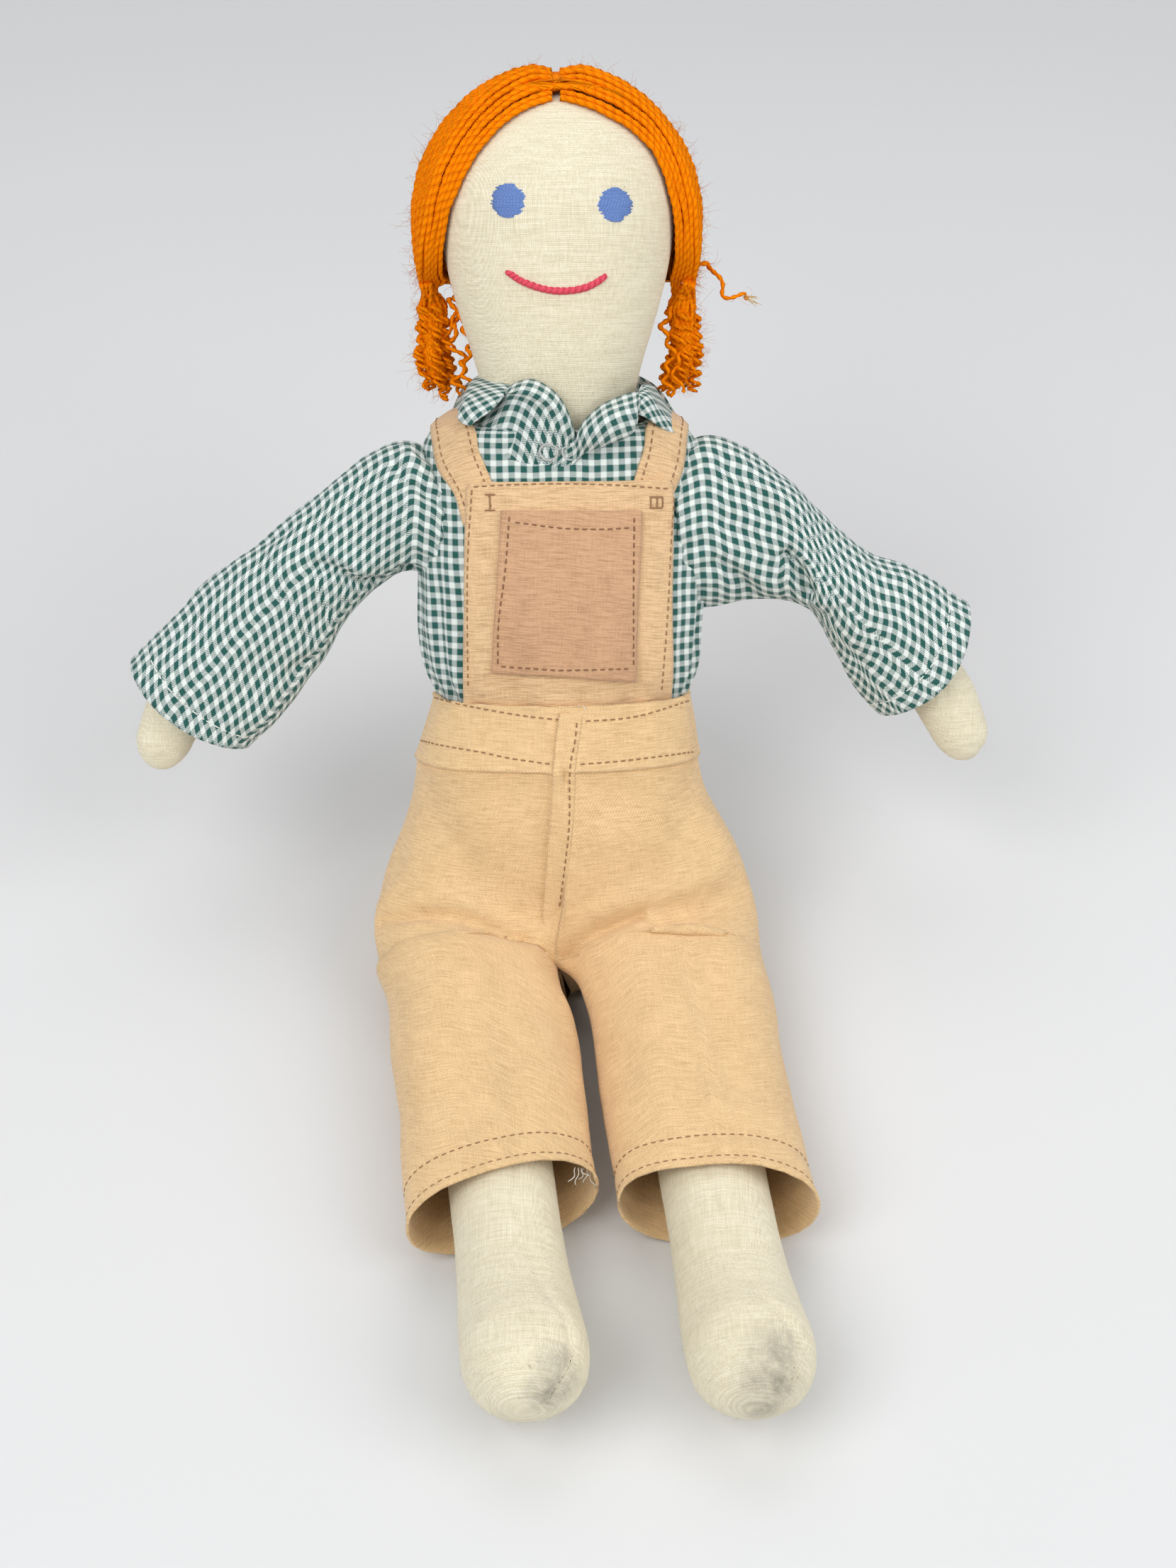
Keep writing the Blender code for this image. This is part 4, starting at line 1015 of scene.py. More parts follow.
for side, name in ((-1, "left"), (1, "right")):
    for limb, piece, body, seams in (
        ("leg", legs[side], "leg_" + name, leg_seams[side]),
        ("hand", arms[side], "arm_" + name, (hand_seams[side],)),
    ):
        tree = mesh_tree(piece.data)
        for line in [seam_line(tree, seam) for seam in seams]:
            press_seam(piece, [place for place, _ in line], seam_depth, seam_half_width)
        tree = mesh_tree(piece.data)
        threads = []
        for seam in seams:
            threads.append([
                place + out.cross(up_way).normalized() * overcast_reach * (-1) ** index - out * overcast_sink
                for index, (place, out) in enumerate(seam_line(tree, seam, -0.0001, 160))
            ])
        dress(thread_piece(limb + "_seam_" + name, threads, 0.00016, calico_thread, 5), "calico", body)
draw_in(torso_stuffing, covered_depth, up_way, up_way, 0.1)
for side in (-1, 1):
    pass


# Shirt

body_length = 0.160
body_half_width, body_half_depth = 0.044, 0.029
shirt_ease, cad_shirt_wall = 0.0065, 0.0012
waist_top, waist_rim = 0.0705, 0.0722
waist_gather, waist_foot = 0.0016, 0.0500
shoulder_height = 0.1555
neck_opening_half_width, neck_opening_half_depth = 0.0305, 0.0265
neck_opening_height, neck_opening_drop = 0.1680, 0.0045
outline_power = 2.25
body_width_shares = (
    (-0.22, 0.86), (0.05, 0.98), (0.30, 1.0), (0.55, 0.95), (0.80, 0.95), (0.93, 0.97), (1.0, 0.94),
)
body_depth_shares = (
    (-0.22, 0.88), (0.05, 0.96), (0.30, 1.0), (0.55, 0.93), (0.80, 0.80), (0.93, 0.68), (1.0, 0.60),
)
shirt_ease_shares = ((0.36, 0.04), (0.45, 0.12), (0.54, 0.70), (0.68, 1.0), (0.80, 0.80), (1.0, 0.55))


def outline_point(turn, half_width, half_depth):
    """A point of a rounded outline at a turn from the right towards the back."""
    across, back = math.cos(turn), math.sin(turn)
    reach = (abs(across) ** outline_power + abs(back) ** outline_power) ** (-1.0 / outline_power)
    return half_width * reach * across, half_depth * reach * back


def shirt_outline(turn, height, gather=0.0):
    """A point of the shirt's outline at a height up the spine, eased over the stuffing."""
    share = height / body_length
    ease = shirt_ease * curve_at(shirt_ease_shares, share) + cad_shirt_wall - gather
    half_width = body_half_width * curve_at(body_width_shares, share) + ease
    half_depth = body_half_depth * curve_at(body_depth_shares, share) + ease
    return outline_point(turn, half_width, half_depth)


shirt_tuck, shirt_rise_share = 0.012, 0.74


def shirt_place(across, along):
    """A place on the shirt's body: round it from the back seam, up from under the waistband."""
    turn = math.pi / 2 - math.tau * across
    low = waist_top - shirt_tuck
    if along <= shirt_rise_share:
        height = low + (shoulder_height - low) * along / shirt_rise_share
        gather = waist_gather * (1.0 - ease_step(height, waist_top, waist_rim + 0.008))
        x, back = shirt_outline(turn, height, gather)
        return torso_point(x, -back, height)
    share = (along - shirt_rise_share) / (1.0 - shirt_rise_share)
    share = math.sin(share * math.pi / 2) ** 0.8
    old_x, old_back = shirt_outline(turn, shoulder_height)
    new_x, new_back = outline_point(turn, neck_opening_half_width, neck_opening_half_depth)
    height = shoulder_height + (neck_opening_height - shoulder_height) * share
    tilt = neck_opening_drop / neck_opening_half_depth * share
    narrow = 1.0 - math.sqrt(max(1.0 - share ** 2, 0.0))
    x = old_x + (new_x - old_x) * narrow
    back = old_back + (new_back - old_back) * share
    return torso_point(x, -back, height + tilt * new_back)


def make_shirt_body():
    """The shirt's body, eased over the stuffing and gathered at the waist."""
    points = lay_grid(96, 132, shirt_place)
    normals = grid_normals(points, True)
    for row in range(points.shape[0]):
        along = row / (points.shape[0] - 1)
        pleat = 0.0011 * (1.0 - ease_step(along, 0.30, 0.62)) * ease_step(along, 0.0, 0.12)
        for column in range(points.shape[1]):
            turn = math.tau * column / (points.shape[1] - 1)
            waves = math.sin(17 * turn + 1.3 * math.sin(3 * turn + 2.5 * along))
            waves += 0.6 * math.sin(29 * turn + 2.0)
            points[row, column] += normals[row, column] * pleat * waves * 0.6
    points = ripple(points, normals, 55.0, 0.0012, 3)
    return points


shirt_points = make_shirt_body()
shirt = cloth_piece(
    "shirt_body_cloth", shirt_points, check, True, shirt_wall, flip=tube_faces_in(shirt_points),
)
dress(shirt, "gingham", "torso", "shirt_body")
declare_sheet(shirt, shirt_points)


sleeve_edges = {
    -1: {
        "upper": (
            (-38.0, 152), (-52.0, 158.5), (-66.0, 154.5), (-85.0, 140.9), (-111.7, 120.4), (-131, 103.5),
            (-150.4, 85.0),
        ),
        "lower": (
            (-41.0, 112), (-52.0, 115.5), (-64.0, 107.5), (-77.0, 95.9), (-86.5, 79.0), (-98.0, 64.5),
            (-110.4, 53.6),
        ),
        "bulge": 0.0062,
    },
    1: {
        "upper": (
            (38.0, 153), (50.0, 159.5), (62.0, 156.5), (76.0, 147), (101.6, 123.1), (122, 112.5),
            (141.6, 101.3),
        ),
        "lower": (
            (41.0, 103), (52.0, 102.5), (64.0, 103.8), (84.0, 100.5), (93.0, 87.0), (101.5, 73.0),
            (110.9, 62.6),
        ),
        "bulge": 0.0090,
    },
}
sleeve_depths = ((0.0, 0.0185), (0.12, 0.0190), (0.30, 0.0165), (0.65, 0.0150), (1.0, 0.0160))


def sleeve_place(side, across, along):
    """A place on a sleeve: round it from the underarm seam, out from the shoulder to the cuff."""
    edges = sleeve_edges[side]
    upper = path_at(edges["upper"], along) / 1000
    lower = path_at(edges["lower"], along) / 1000
    turn = math.tau * across
    rise, forward = -math.cos(turn), math.sin(turn)
    reach = (abs(rise) ** 2.2 + abs(forward) ** 2.2) ** (-1 / 2.2)
    rise, forward = rise * reach, forward * reach
    middle, half = (upper + lower) / 2, (upper - lower) / 2
    place = middle + half * rise
    out = Vector((half.y, -half.x)).normalized() * side
    bulge = edges["bulge"] * (1.0 - rise * rise) * along ** 3
    place = place + out * bulge
    depth = curve_at(sleeve_depths, along)
    return torso_point(place.x, forward * depth, place.y)


def sleeve_middle(side):
    """A place inside a sleeve."""
    return torso_point(side * 0.09, 0.0, 0.11)


def make_sleeve(side):
    """One long flared sleeve with a gathered head; its hem is pressed and stitched afterwards."""
    points = lay_grid(110, 108, lambda across, along: sleeve_place(side, across, along))
    if side > 0:
        points = points[:, ::-1].copy()
    normals = normals_from(points, True, sleeve_middle(side))
    rows, columns = points.shape[0], points.shape[1]
    for row in range(rows):
        along = row / (rows - 1)
        gather = 0.0009 * math.exp(-(along / 0.16) ** 2)
        for column in range(columns):
            turn = math.tau * column / (columns - 1)
            waves = math.sin(19 * turn + 0.8 * math.sin(2 * turn))
            points[row, column] += normals[row, column] * gather * waves
    return points, normals


def tree_of(*grids):
    """A tree of laid cloths' faces."""
    vertices, faces = [], []
    for points in grids:
        base = len(vertices)
        rows, columns = points.shape[0], points.shape[1]
        vertices.extend(Vector(place) for place in points.reshape(-1, 3))
        for row in range(rows - 1):
            for column in range(columns - 1):
                first = base + row * columns + column
                faces.append((first, first + 1, first + columns + 1, first + columns))
    return BVHTree.FromPolygons(vertices, faces)


line_jump = 0.007


def seen_line(tree, spots, steps=40):
    """A line over a surface through places of the picture."""
    line = []
    for index in range(steps + 1):
        place = land(tree, *sight(*path_at(spots, index / steps)[:2]))
        if place is not None and (not line or (place - line[-1]).length < line_jump):
            line.append(place)
    return line


# Folds: places of the picture, depth (a ridge below zero), width and how much of the ends fades
sleeve_folds = {
    -1: (
        (
            ((490.9, 746.4), (468.5, 746.4), (449.8, 740.2), (434.2, 729.9), (409.3, 722.1), (387.5, 724.6)),
            0.0034, 0.0024, 0.15,
        ),
        (((487.1, 732.4), (462.2, 729.3), (437.3, 716.9), (412.4, 709.1)), -0.002, 0.005, 0.35),
        (((515.2, 718.4), (526.1, 729.3), (541.6, 744.9), (558.8, 741.8)), 0.003, 0.0022, 0.2),
        (((499.6, 576.7), (504.3, 595.4), (518.3, 613.5), (543.2, 625.9), (565, 642.1)), 0.0019, 0.002, 0.25),
        (((515.2, 567.4), (530.7, 592.3), (549.4, 611), (571.2, 635.9)), -0.0013, 0.0022, 0.3),
        (((540.1, 570.5), (555.6, 595.4), (568.1, 623.4)), 0.0014, 0.0018, 0.3),
        (((512.1, 635.9), (537, 654.6), (561.9, 673.3)), -0.001, 0.0035, 0.4),
        (((312.8, 688.8), (337.7, 688.8), (362.6, 676.4), (381.3, 660.8)), 0.0013, 0.0038, 0.4),
        (((331.5, 710.6), (362.6, 716.9), (393.7, 735.5)), -0.0012, 0.005, 0.4),
        (((424.9, 760.4), (406.2, 791.6), (393.7, 816.5)), 0.0012, 0.005, 0.4),
        (((343.9, 822.7), (319, 869.4), (300.3, 909.9)), 0.0014, 0.007, 0.4),
        (((368.8, 875.6), (381.3, 853.8), (409.3, 835.2)), 0.0018, 0.0035, 0.3),
    ),
    1: (
        (((995.9, 700.3), (1013.9, 719.7), (1026.4, 741.8), (1036, 766.7)), 0.0044, 0.0026, 0.12),
        (((1007, 697.5), (1029.1, 725.2), (1043, 755.7), (1051.3, 786.1)), -0.0026, 0.0048, 0.3),
        (((910.1, 567.4), (932.2, 595.1), (959.9, 625.5), (987.6, 661.5), (1012.5, 692)), 0.0017, 0.003, 0.3),
        (((923.9, 570.2), (951.6, 600.6), (984.8, 636.6), (1018, 672.6)), -0.0014, 0.0045, 0.35),
        (((896.2, 711.4), (923.9, 722.4), (948.8, 744.6), (959.9, 764)), 0.0026, 0.0026, 0.25),
        (((923.9, 708.6), (951.6, 722.4), (979.3, 747.4), (995.9, 764)), -0.0014, 0.0036, 0.35),
        (((879.6, 631.1), (907.3, 658.8), (946.1, 680.9), (968.2, 697.5)), 0.0015, 0.0034, 0.35),
        (((885.2, 658.8), (896.2, 686.5), (890.7, 714.1)), 0.002, 0.0026, 0.3),
        (((1090, 692), (1117.7, 714.1), (1159.2, 736.3)), 0.0012, 0.006, 0.4),
        (((1067.9, 819.3), (1090, 847), (1112.2, 866.4)), 0.0012, 0.005, 0.4),
        (((1117.7, 764), (1139.9, 797.2), (1150.9, 835.9)), -0.0012, 0.008, 0.4),
    ),
}
cuff_hem = 0.0083
deep_fold = 0.0030

sleeve_grids = {}
for side, name in ((-1, "left"), (1, "right")):
    points, normals = make_sleeve(side)
    tree = tree_of(points)
    for spots, depth, width, fade in sleeve_folds[side]:
        line = seen_line(tree, spots)
        if len(line) > 2:
            points = press_line(points, normals, line, depth, width, fade)
            if depth > deep_fold:
                press_seam(arms[side], line, depth, 3 * width)
    points = ripple(points, normals, 42.0, 0.0020, 5 + side)
    points = ripple(points, normals, 120.0, 0.0005, 8 + side)
    row_steps = np.linalg.norm(points[1:] - points[:-1], axis=2).mean(axis=1)
    hem_row = len(points) - 1 - int(np.searchsorted(np.cumsum(row_steps[::-1]), cuff_hem))
    normals = normals_from(points, True, sleeve_middle(side))
    for row in range(points.shape[0]):
        points[row] -= normals[row] * 0.0003 * math.exp(-((row - hem_row) / 0.8) ** 2)
    sleeve_grids[side] = points
    piece = cloth_piece("sleeve_cloth_" + name, points, check, True, shirt_wall, flip=tube_faces_in(points))
    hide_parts("sleeve_" + name)
    start = torso_point(side * 0.044, 0.0, 0.142)
    end = torso_point(side * 0.072, 0.0, 0.122)
    tuple(start)
    tuple(end)
    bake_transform(piece)
    declare_sheet(piece, points)
    share = hem_row / (points.shape[0] - 1)
    hem_line = grid_line(points, normals, ((0.0, share), (1.0, share)), -0.00012, 300)
    sew("cuff_stitches_" + name, [hem_line], white_thread, "arm_" + name, 0.0029, 0.0025, "gingham")


def seen_place(x, y, front):
    """The place seen at a place of the picture, at a distance in front of the spine in mm."""
    start, way = sight(x, y)
    return start + way * ((spine_foot + front_way * front / 1000 - start).dot(front_way) / way.dot(front_way))


def lay_net(lines, rows, columns):
    """A cloth laid smoothly through lines of places, one line for each place across."""
    points = np.zeros((rows + 1, columns + 1, 3))
    for row in range(rows + 1):
        crossing = [path_at(line, row / rows) for line in lines]
        for column in range(columns + 1):
            points[row, column] = path_at(crossing, column / columns)
    return points


def faces_in(points, middle):
    """Whether an open cloth's faces look at a place inside it."""
    return bool(((points - np.array(middle)) * grid_normals(points, False)).sum() < 0)


# Each line goes from the neck to the outer edge: picture x, picture y and mm in front of the spine
collar_left_wing = (
    ((649.3, 491.8, 20.0), (639.4, 505.8, 25.5), (623.6, 524.3, 26.0), (607.4, 536.9, 24.5)),
    ((637.4, 485, 14.5), (623.6, 502.9, 22.0), (610.3, 522.8, 24.5), (597.7, 542.7, 23.5)),
    ((622.9, 481.6, 8.0), (609.1, 498.6, 17.0), (596.3, 518, 21.5), (586.6, 537.3, 21.0)),
    ((608.4, 480.7, 0.0), (597.2, 496.2, 9.5), (589, 513.1, 15.5), (583.4, 530.1, 17.0)),
    ((603.5, 485.5, -8.0), (592.9, 501, 0.0), (587.1, 517.5, 6.0), (584.4, 530.1, 9.0)),
)
collar_right_wing = (
    ((836.1, 504.2, -14.0), (861.7, 530.1, -8.0), (871.9, 544.1, -7.0), (877.2, 555, -6.0)),
    ((836.5, 500, -6.0), (857.4, 527.2, 2.0), (868.3, 544.1, 4.5), (876.5, 558.9, 6.0)),
    ((832.4, 493.7, 2.0), (841.6, 515.1, 12.0), (850.1, 533.2, 15.0), (857.4, 551.4, 16.0)),
    ((826.4, 489.9, 10.0), (827.8, 505.4, 19.0), (830.7, 522.3, 21.5), (833.6, 537.3, 21.5)),
    ((820.1, 492.3, 17.0), (815.2, 504.2, 22.5), (812.3, 516.3, 24.0), (810.9, 527.6, 23.5)),
)
collar_left_front = (
    (
        (733.8, 556.2, 27.5), (733.4, 562.3, 27.0), (727.8, 573.2, 25.8), (720.5, 585.3, 24.2),
        (712, 598.6, 23.4),
    ),
    (
        (729.5, 539.8, 28.0), (727.1, 547.8, 30.0), (720.5, 558.7, 29.0), (709.6, 578, 25.5),
        (697.5, 601, 23.2),
    ),
    (
        (722.9, 520.4, 28.0), (718.1, 529.6, 31.5), (709.6, 541.7, 30.0), (695.1, 568.3, 26.5),
        (678.1, 602.7, 23.0),
    ),
    (
        (710.3, 502.5, 27.0), (703.6, 513.8, 32.0), (693.9, 524.7, 29.5), (678.1, 561.1, 26.0),
        (663.6, 604.2, 22.6),
    ),
    (
        (693.1, 488.9, 25.5), (685.4, 504.2, 31.5), (674.5, 518, 27.5), (661.2, 556.2, 25.0),
        (649.1, 605.2, 21.8),
    ),
    (
        (676.2, 483.6, 24.0), (667.2, 499.3, 30.0), (658.8, 514.6, 25.0), (646.6, 556.2, 23.5),
        (639.4, 605.2, 20.8),
    ),
    (
        (659.2, 487.2, 22.5), (652, 500, 27.5), (645.4, 509.7, 22.0), (632.1, 553.8, 21.5),
        (629.7, 599.8, 19.6),
    ),
    (
        (649.3, 492.8, 20.0), (644.2, 500.5, 22.5), (635.7, 511.4, 18.0), (617.6, 544.1, 18.5),
        (620.5, 587.7, 18.2),
    ),
    (
        (645.4, 496.9, 15.0), (639.4, 505.4, 17.0), (627.3, 517.5, 14.0), (606, 542.2, 15.5),
        (612.7, 578, 16.0),
    ),
)
collar_right_front = (
    ((821, 495.7, 15.0), (816.7, 509, 22.0), (813.8, 522.3, 23.0), (811.8, 532, 21.5), (816.2, 532, 18.0)),
    (
        (809.4, 500, 21.0), (810.9, 517.5, 28.5), (811.8, 532, 28.5), (811.3, 544.1, 26.0),
        (805.3, 547.8, 21.0),
    ),
    (
        (792, 504.9, 24.0), (794.4, 524.7, 32.5), (798.3, 542.9, 32.0), (800.7, 557, 28.5),
        (796.8, 558.7, 23.0),
    ),
    (
        (767.7, 515.5, 26.0), (771.4, 534.4, 34.0), (777, 551.4, 33.5), (781.8, 564.5, 29.5),
        (778.6, 565.4, 24.0),
    ),
    (
        (748.9, 530.8, 27.0), (752.7, 546.5, 33.0), (757.6, 559.9, 32.0), (761, 571.2, 28.5),
        (758.1, 572.2, 24.0),
    ),
    (
        (738.7, 546.5, 27.5), (740.1, 557.4, 31.0), (742.6, 568.3, 30.0), (745, 578.5, 26.8),
        (741.1, 580.4, 24.0),
    ),
    (
        (735.3, 556.7, 28.0), (732.4, 567.1, 28.0), (731.4, 579.2, 26.0), (730.9, 591.3, 24.6),
        (727.8, 592.6, 23.6),
    ),
    (
        (722.9, 567.1, 26.0), (718.8, 576.8, 25.6), (715.9, 586.5, 24.8), (713.3, 597.4, 24.0),
        (712, 598.9, 23.4),
    ),
    (
        (705.3, 582.9, 24.4), (702.8, 588.9, 24.4), (700.4, 596.2, 24.2), (698.5, 604.2, 23.8),
        (697.5, 605.6, 23.4),
    ),
)
collar_crest_half_width, collar_crest_half_depth, collar_crest_height = 0.0318, 0.0280, 0.1800
collar_edge_half_width, collar_edge_half_depth, collar_edge_height = 0.0430, 0.0370, 0.1700


def collar_back_line(turn):
    """One line of the collar behind the neck, at a turn from the front by way of the left."""
    side, front = -math.sin(turn), math.cos(turn)
    line = []
    for share in (0.0, 0.4, 0.75, 1.0):
        half_width = collar_crest_half_width + (collar_edge_half_width - collar_crest_half_width) * share ** 0.7
        half_depth = collar_crest_half_depth + (collar_edge_half_depth - collar_crest_half_depth) * share ** 0.7
        height = collar_crest_height + (collar_edge_height - collar_crest_height) * share ** 1.5
        line.append(torso_point(half_width * side, half_depth * front, height))
    return line


def with_stand(line):
    """A collar line led down inside, along the neck, before it turns over."""
    top = line[0]
    inside = Vector((-top.x, 0.0, 0.0)).normalized() * 0.0016
    return [top + inside - spine_way * 0.0065, top + inside * 0.7 - spine_way * 0.0016, *line]


neck_middle = torso_point(0.0, 0.0, 0.165)
collar_lines = [[seen_place(*spot) for spot in line] for line in collar_left_wing]
collar_lines += [collar_back_line(math.radians(turn)) for turn in (122.0, 145.0, 170.0, 195.0, 218.0, 240.0)]
collar_lines += [[seen_place(*spot) for spot in line] for line in collar_right_wing]
collar_points = lay_net([with_stand(line) for line in collar_lines], 30, 150)
collar_normals = grid_normals(collar_points, False)
collar_points = ripple(collar_points, collar_normals, 90.0, 0.0007, 41)
turned = faces_in(collar_points, neck_middle)
collar = cloth_piece("collar_cloth", collar_points, check, False, 0.0010, flip=turned)
for name, net in (("left", collar_left_front), ("right", collar_right_front)):
    front_points = lay_net([[seen_place(*spot) for spot in line] for line in net], 34, 60)
    front_points = ripple(front_points, grid_normals(front_points, False), 110.0, 0.0006, 43)
    turned = faces_in(front_points, neck_middle)
    front = cloth_piece("collar_front_" + name, front_points, check, False, 0.0007, flip=turned)
    dress(front, "gingham", "torso")
dress(collar, "gingham", "torso", "collar")
declare_sheet(collar, collar_points)


# Dungarees

crotch_rows, leg_rows, trouser_columns = 46, 62, 140
trouser_length = 0.1290
leg_start, leg_run = 0.0275, trouser_length - 0.0277
front_seam = (
    (-1.8, 93.2), (-12.7, 76.6), (-21.5, 60.0), (-26.5, 46.0), (-29.5, 34.0), (-31.0, 27.0), (-31.0, 23.0),
)


def trouser_points(side, name):
    """One half of the dungarees' seat with its leg, from under the waistband to the hem."""
    tree = skin_of("dungarees_seat", "trouser_leg_" + name, "fly_facing")
    middle_out = Vector((side, 0.0, 0.0))
    shape = (crotch_rows + leg_rows + 1, trouser_columns + 1)
    centres, ways, reaches = np.zeros((*shape, 3)), np.zeros((*shape, 3)), np.full(shape, np.nan)
    edges, frames, turns = {}, [], []
    for row in range(shape[0]):
        if row <= crotch_rows:
            share = row / crotch_rows
            seam = path_at(front_seam, share) / 1000
            front = Vector((0.0, seam.x, seam.y))
            tilt = math.radians(30.0 + 60.0 * share ** 0.8)
            rise, out = Vector((0.0, -math.cos(tilt), math.sin(tilt))), middle_out
            start = front - rise * 0.25
            start.x = side * 0.0004
            back = land(tree, start, rise) or front - rise * 0.06
            back.x = 0.0
            closing = ease_step(share, 0.66, 1.0)
            back = back.lerp(front, closing)
            inward = hip_half_spacing * ease_step(share, 0.30, 1.0)
            depth = max((front - back).length / 2, 0.021 * ease_step(share, 0.5, 1.0))
            centre = front - rise * depth + out * inward
            centre = centre.lerp(Vector((side * hip_half_spacing, centre.y, hip_height)), closing)
            start_turn = math.atan2((front - centre).dot(out), (front - centre).dot(rise))
            end_turn = math.atan2((back - centre).dot(out), (back - centre).dot(rise))
            if end_turn <= start_turn:
                end_turn += math.tau
            edges[row] = (front, back)
            frames.append((centre, rise, out))
            turns.append((start_turn, end_turn))
        else:
            share = (row - crotch_rows) / leg_rows
            along = leg_start + leg_run * share
            centre = leg_point(side, 0.0, along, -0.0022 * share)
            rise = Vector((0.0, 0.0, 1.0))
            turn = leg_turns[side]
            out = Vector((math.cos(turn), math.sin(turn), 0.0)) * side
            frames.append((centre, rise, out))
            turns.append((-math.pi / 2, math.pi * 1.5))
    turns = np.pad(np.array(turns), ((5, 5), (0, 0)), mode="edge")
    turns = sum(turns[shift:shift + shape[0]] for shift in range(11)) / 11
    for row, (centre, rise, out) in enumerate(frames):
        for column in range(shape[1]):
            turn = turns[row, 0] + (turns[row, 1] - turns[row, 0]) * column / trouser_columns
            way = rise * math.cos(turn) + out * math.sin(turn)
            centres[row, column], ways[row, column] = centre, way
            place = land(tree, centre + way * 0.11, -way)
            if place is not None:
                reaches[row, column] = (place - centre).length
    reaches = close_gaps(reaches)
    points = centres + ways * reaches[:, :, None]
    for row, (front, back) in edges.items():
        points[row, 0], points[row, -1] = front, back
        low = points[row, :, 0] * side < 0.0
        points[row, low, 0] = 0.0
    return points


def close_gaps(reaches):
    """Fill the narrow gap that the hip's swing needs in the solids: no cloth dips into it."""
    rows = np.arange(reaches.shape[0])
    for column in range(reaches.shape[1]):
        good = ~np.isnan(reaches[:, column])
        reaches[:, column] = np.interp(rows, rows[good], reaches[good, column])
    for operation, reach in ((np.maximum, 4), (np.minimum, 4), (np.minimum, 3), (np.maximum, 3)):
        padded = np.pad(reaches, ((reach, reach), (0, 0)), mode="edge")
        best = reaches.copy()
        for shift in range(2 * reach + 1):
            best = operation(best, padded[shift:shift + reaches.shape[0]])
        reaches = best
    return reaches


def hold_trousers(points, side):
    """Keep the two halves' shared edges on the middle plane, and the seat above the floor."""
    for row in range(crotch_rows + 1):
        points[row, 0, 0] = 0.0
        points[row, -1, 0] = 0.0
    for row in range(crotch_rows + 1, points.shape[0]):
        points[row, -1] = points[row, 0]
    points[:, :, 2] = np.maximum(points[:, :, 2], floor_gap)
    middle = points[:crotch_rows + 1, :, 0] * side
    points[:crotch_rows + 1, :, 0] = np.maximum(middle, 0.0) * side
    return points


def relax_trousers(points, side, rounds):
    """Even the half out: open at the middle seams above the crotch, a closed tube below it."""
    for _ in range(rounds):
        left = np.concatenate([points[:, :1], points[:, :-1]], axis=1)
        right = np.concatenate([points[:, 1:], points[:, -1:]], axis=1)
        left[crotch_rows + 1:, 0] = points[crotch_rows + 1:, -2]
        right[crotch_rows + 1:, -1] = points[crotch_rows + 1:, 1]
        below = np.concatenate([points[:1], points[:-1]], axis=0)
        above = np.concatenate([points[1:], points[-1:]], axis=0)
        moved = points + 0.5 * ((left + right + below + above) / 4 - points)
        moved[0] = points[0]
        moved[-1] = points[-1]
        moved[:crotch_rows + 1, 0] = points[:crotch_rows + 1, 0]
        moved[:crotch_rows + 1, -1] = points[:crotch_rows + 1, -1]
        points = hold_trousers(moved, side)
    return points


trouser_folds = {
    -1: (
        (
            ((474, 1176), (505, 1170), (545, 1166), (590, 1171), (637, 1187), (690, 1206)),
            0.0030, 0.0024, 0.10,
        ),
        (((472, 1152), (510, 1144), (560, 1148), (620, 1162), (668, 1184)), -0.0034, 0.0055, 0.25),
        (((500, 1195), (560, 1186), (620, 1200)), -0.0016, 0.0055, 0.3),
        (((540, 1010), (556, 1060), (600, 1100), (650, 1118)), 0.0016, 0.0080, 0.4),
        (((500, 1080), (520, 1120), (560, 1150)), 0.0012, 0.0050, 0.4),
        (((560, 1230), (600, 1300), (616, 1400), (600, 1480)), 0.0024, 0.0100, 0.4),
        (((660, 1250), (690, 1330), (708, 1440)), -0.0014, 0.0100, 0.4),
        (((520, 1230), (530, 1330), (536, 1450)), -0.0010, 0.0070, 0.4),
    ),
    1: (
        (((708, 1228), (730, 1208), (752, 1191), (807, 1166), (830, 1162)), 0.0046, 0.0024, 0.12),
        (((815, 1163), (860, 1163), (905, 1150), (944, 1122)), 0.0022, 0.0052, 0.3),
        (((735, 1182), (790, 1154), (850, 1140), (900, 1124), (938, 1098)), -0.0030, 0.0058, 0.25),
        (((860, 1010), (880, 1060), (862, 1105)), 0.0018, 0.0075, 0.4),
        (((905, 1030), (922, 1080), (948, 1120)), -0.0014, 0.0060, 0.4),
        (((870, 1170), (905, 1250), (930, 1350), (950, 1430)), 0.0024, 0.0090, 0.4),
        (((800, 1240), (830, 1330), (850, 1440)), -0.0012, 0.0100, 0.4),
    ),
}

# Creases narrower than this are pressed last, straight down into the lap
sharp_width = 0.0030
crease_way = np.array([[[0.0, -0.35, 0.94]]])
hip_corners = {-1: ((505, 1160), 0.0046), 1: ((945, 1140), 0.0028)}
crotch_place = Vector((0.0, -0.034, 0.030))
crotch_shift = Vector((-0.0036, -0.0012, 0.0010))
hem_seams = (0.0030, 0.0118)
hem_row_step = leg_run / leg_rows


def slant_hem(points, side):
    """Let the hem hang lower at the outer side and lift a little in front."""
    turn = leg_turns[side]
    way = np.array((math.sin(turn), -math.cos(turn), 0.0))
    out = np.array((math.cos(turn), math.sin(turn), 0.0)) * side
    for row in range(crotch_rows + 1, points.shape[0]):
        share = (row - crotch_rows) / leg_rows
        middle = points[row].mean(axis=0)
        spread = points[row] - middle
        across = spread @ out / max(float(np.abs(spread @ out).max()), 1e-6)
        above = np.clip(spread[:, 2] / max(float(spread[:, 2].max()), 1e-6), -1.0, 1.0)
        shift = 0.0048 * across - 0.0012 * above
        points[row] += way * (shift * share ** 3)[:, None]
    return points


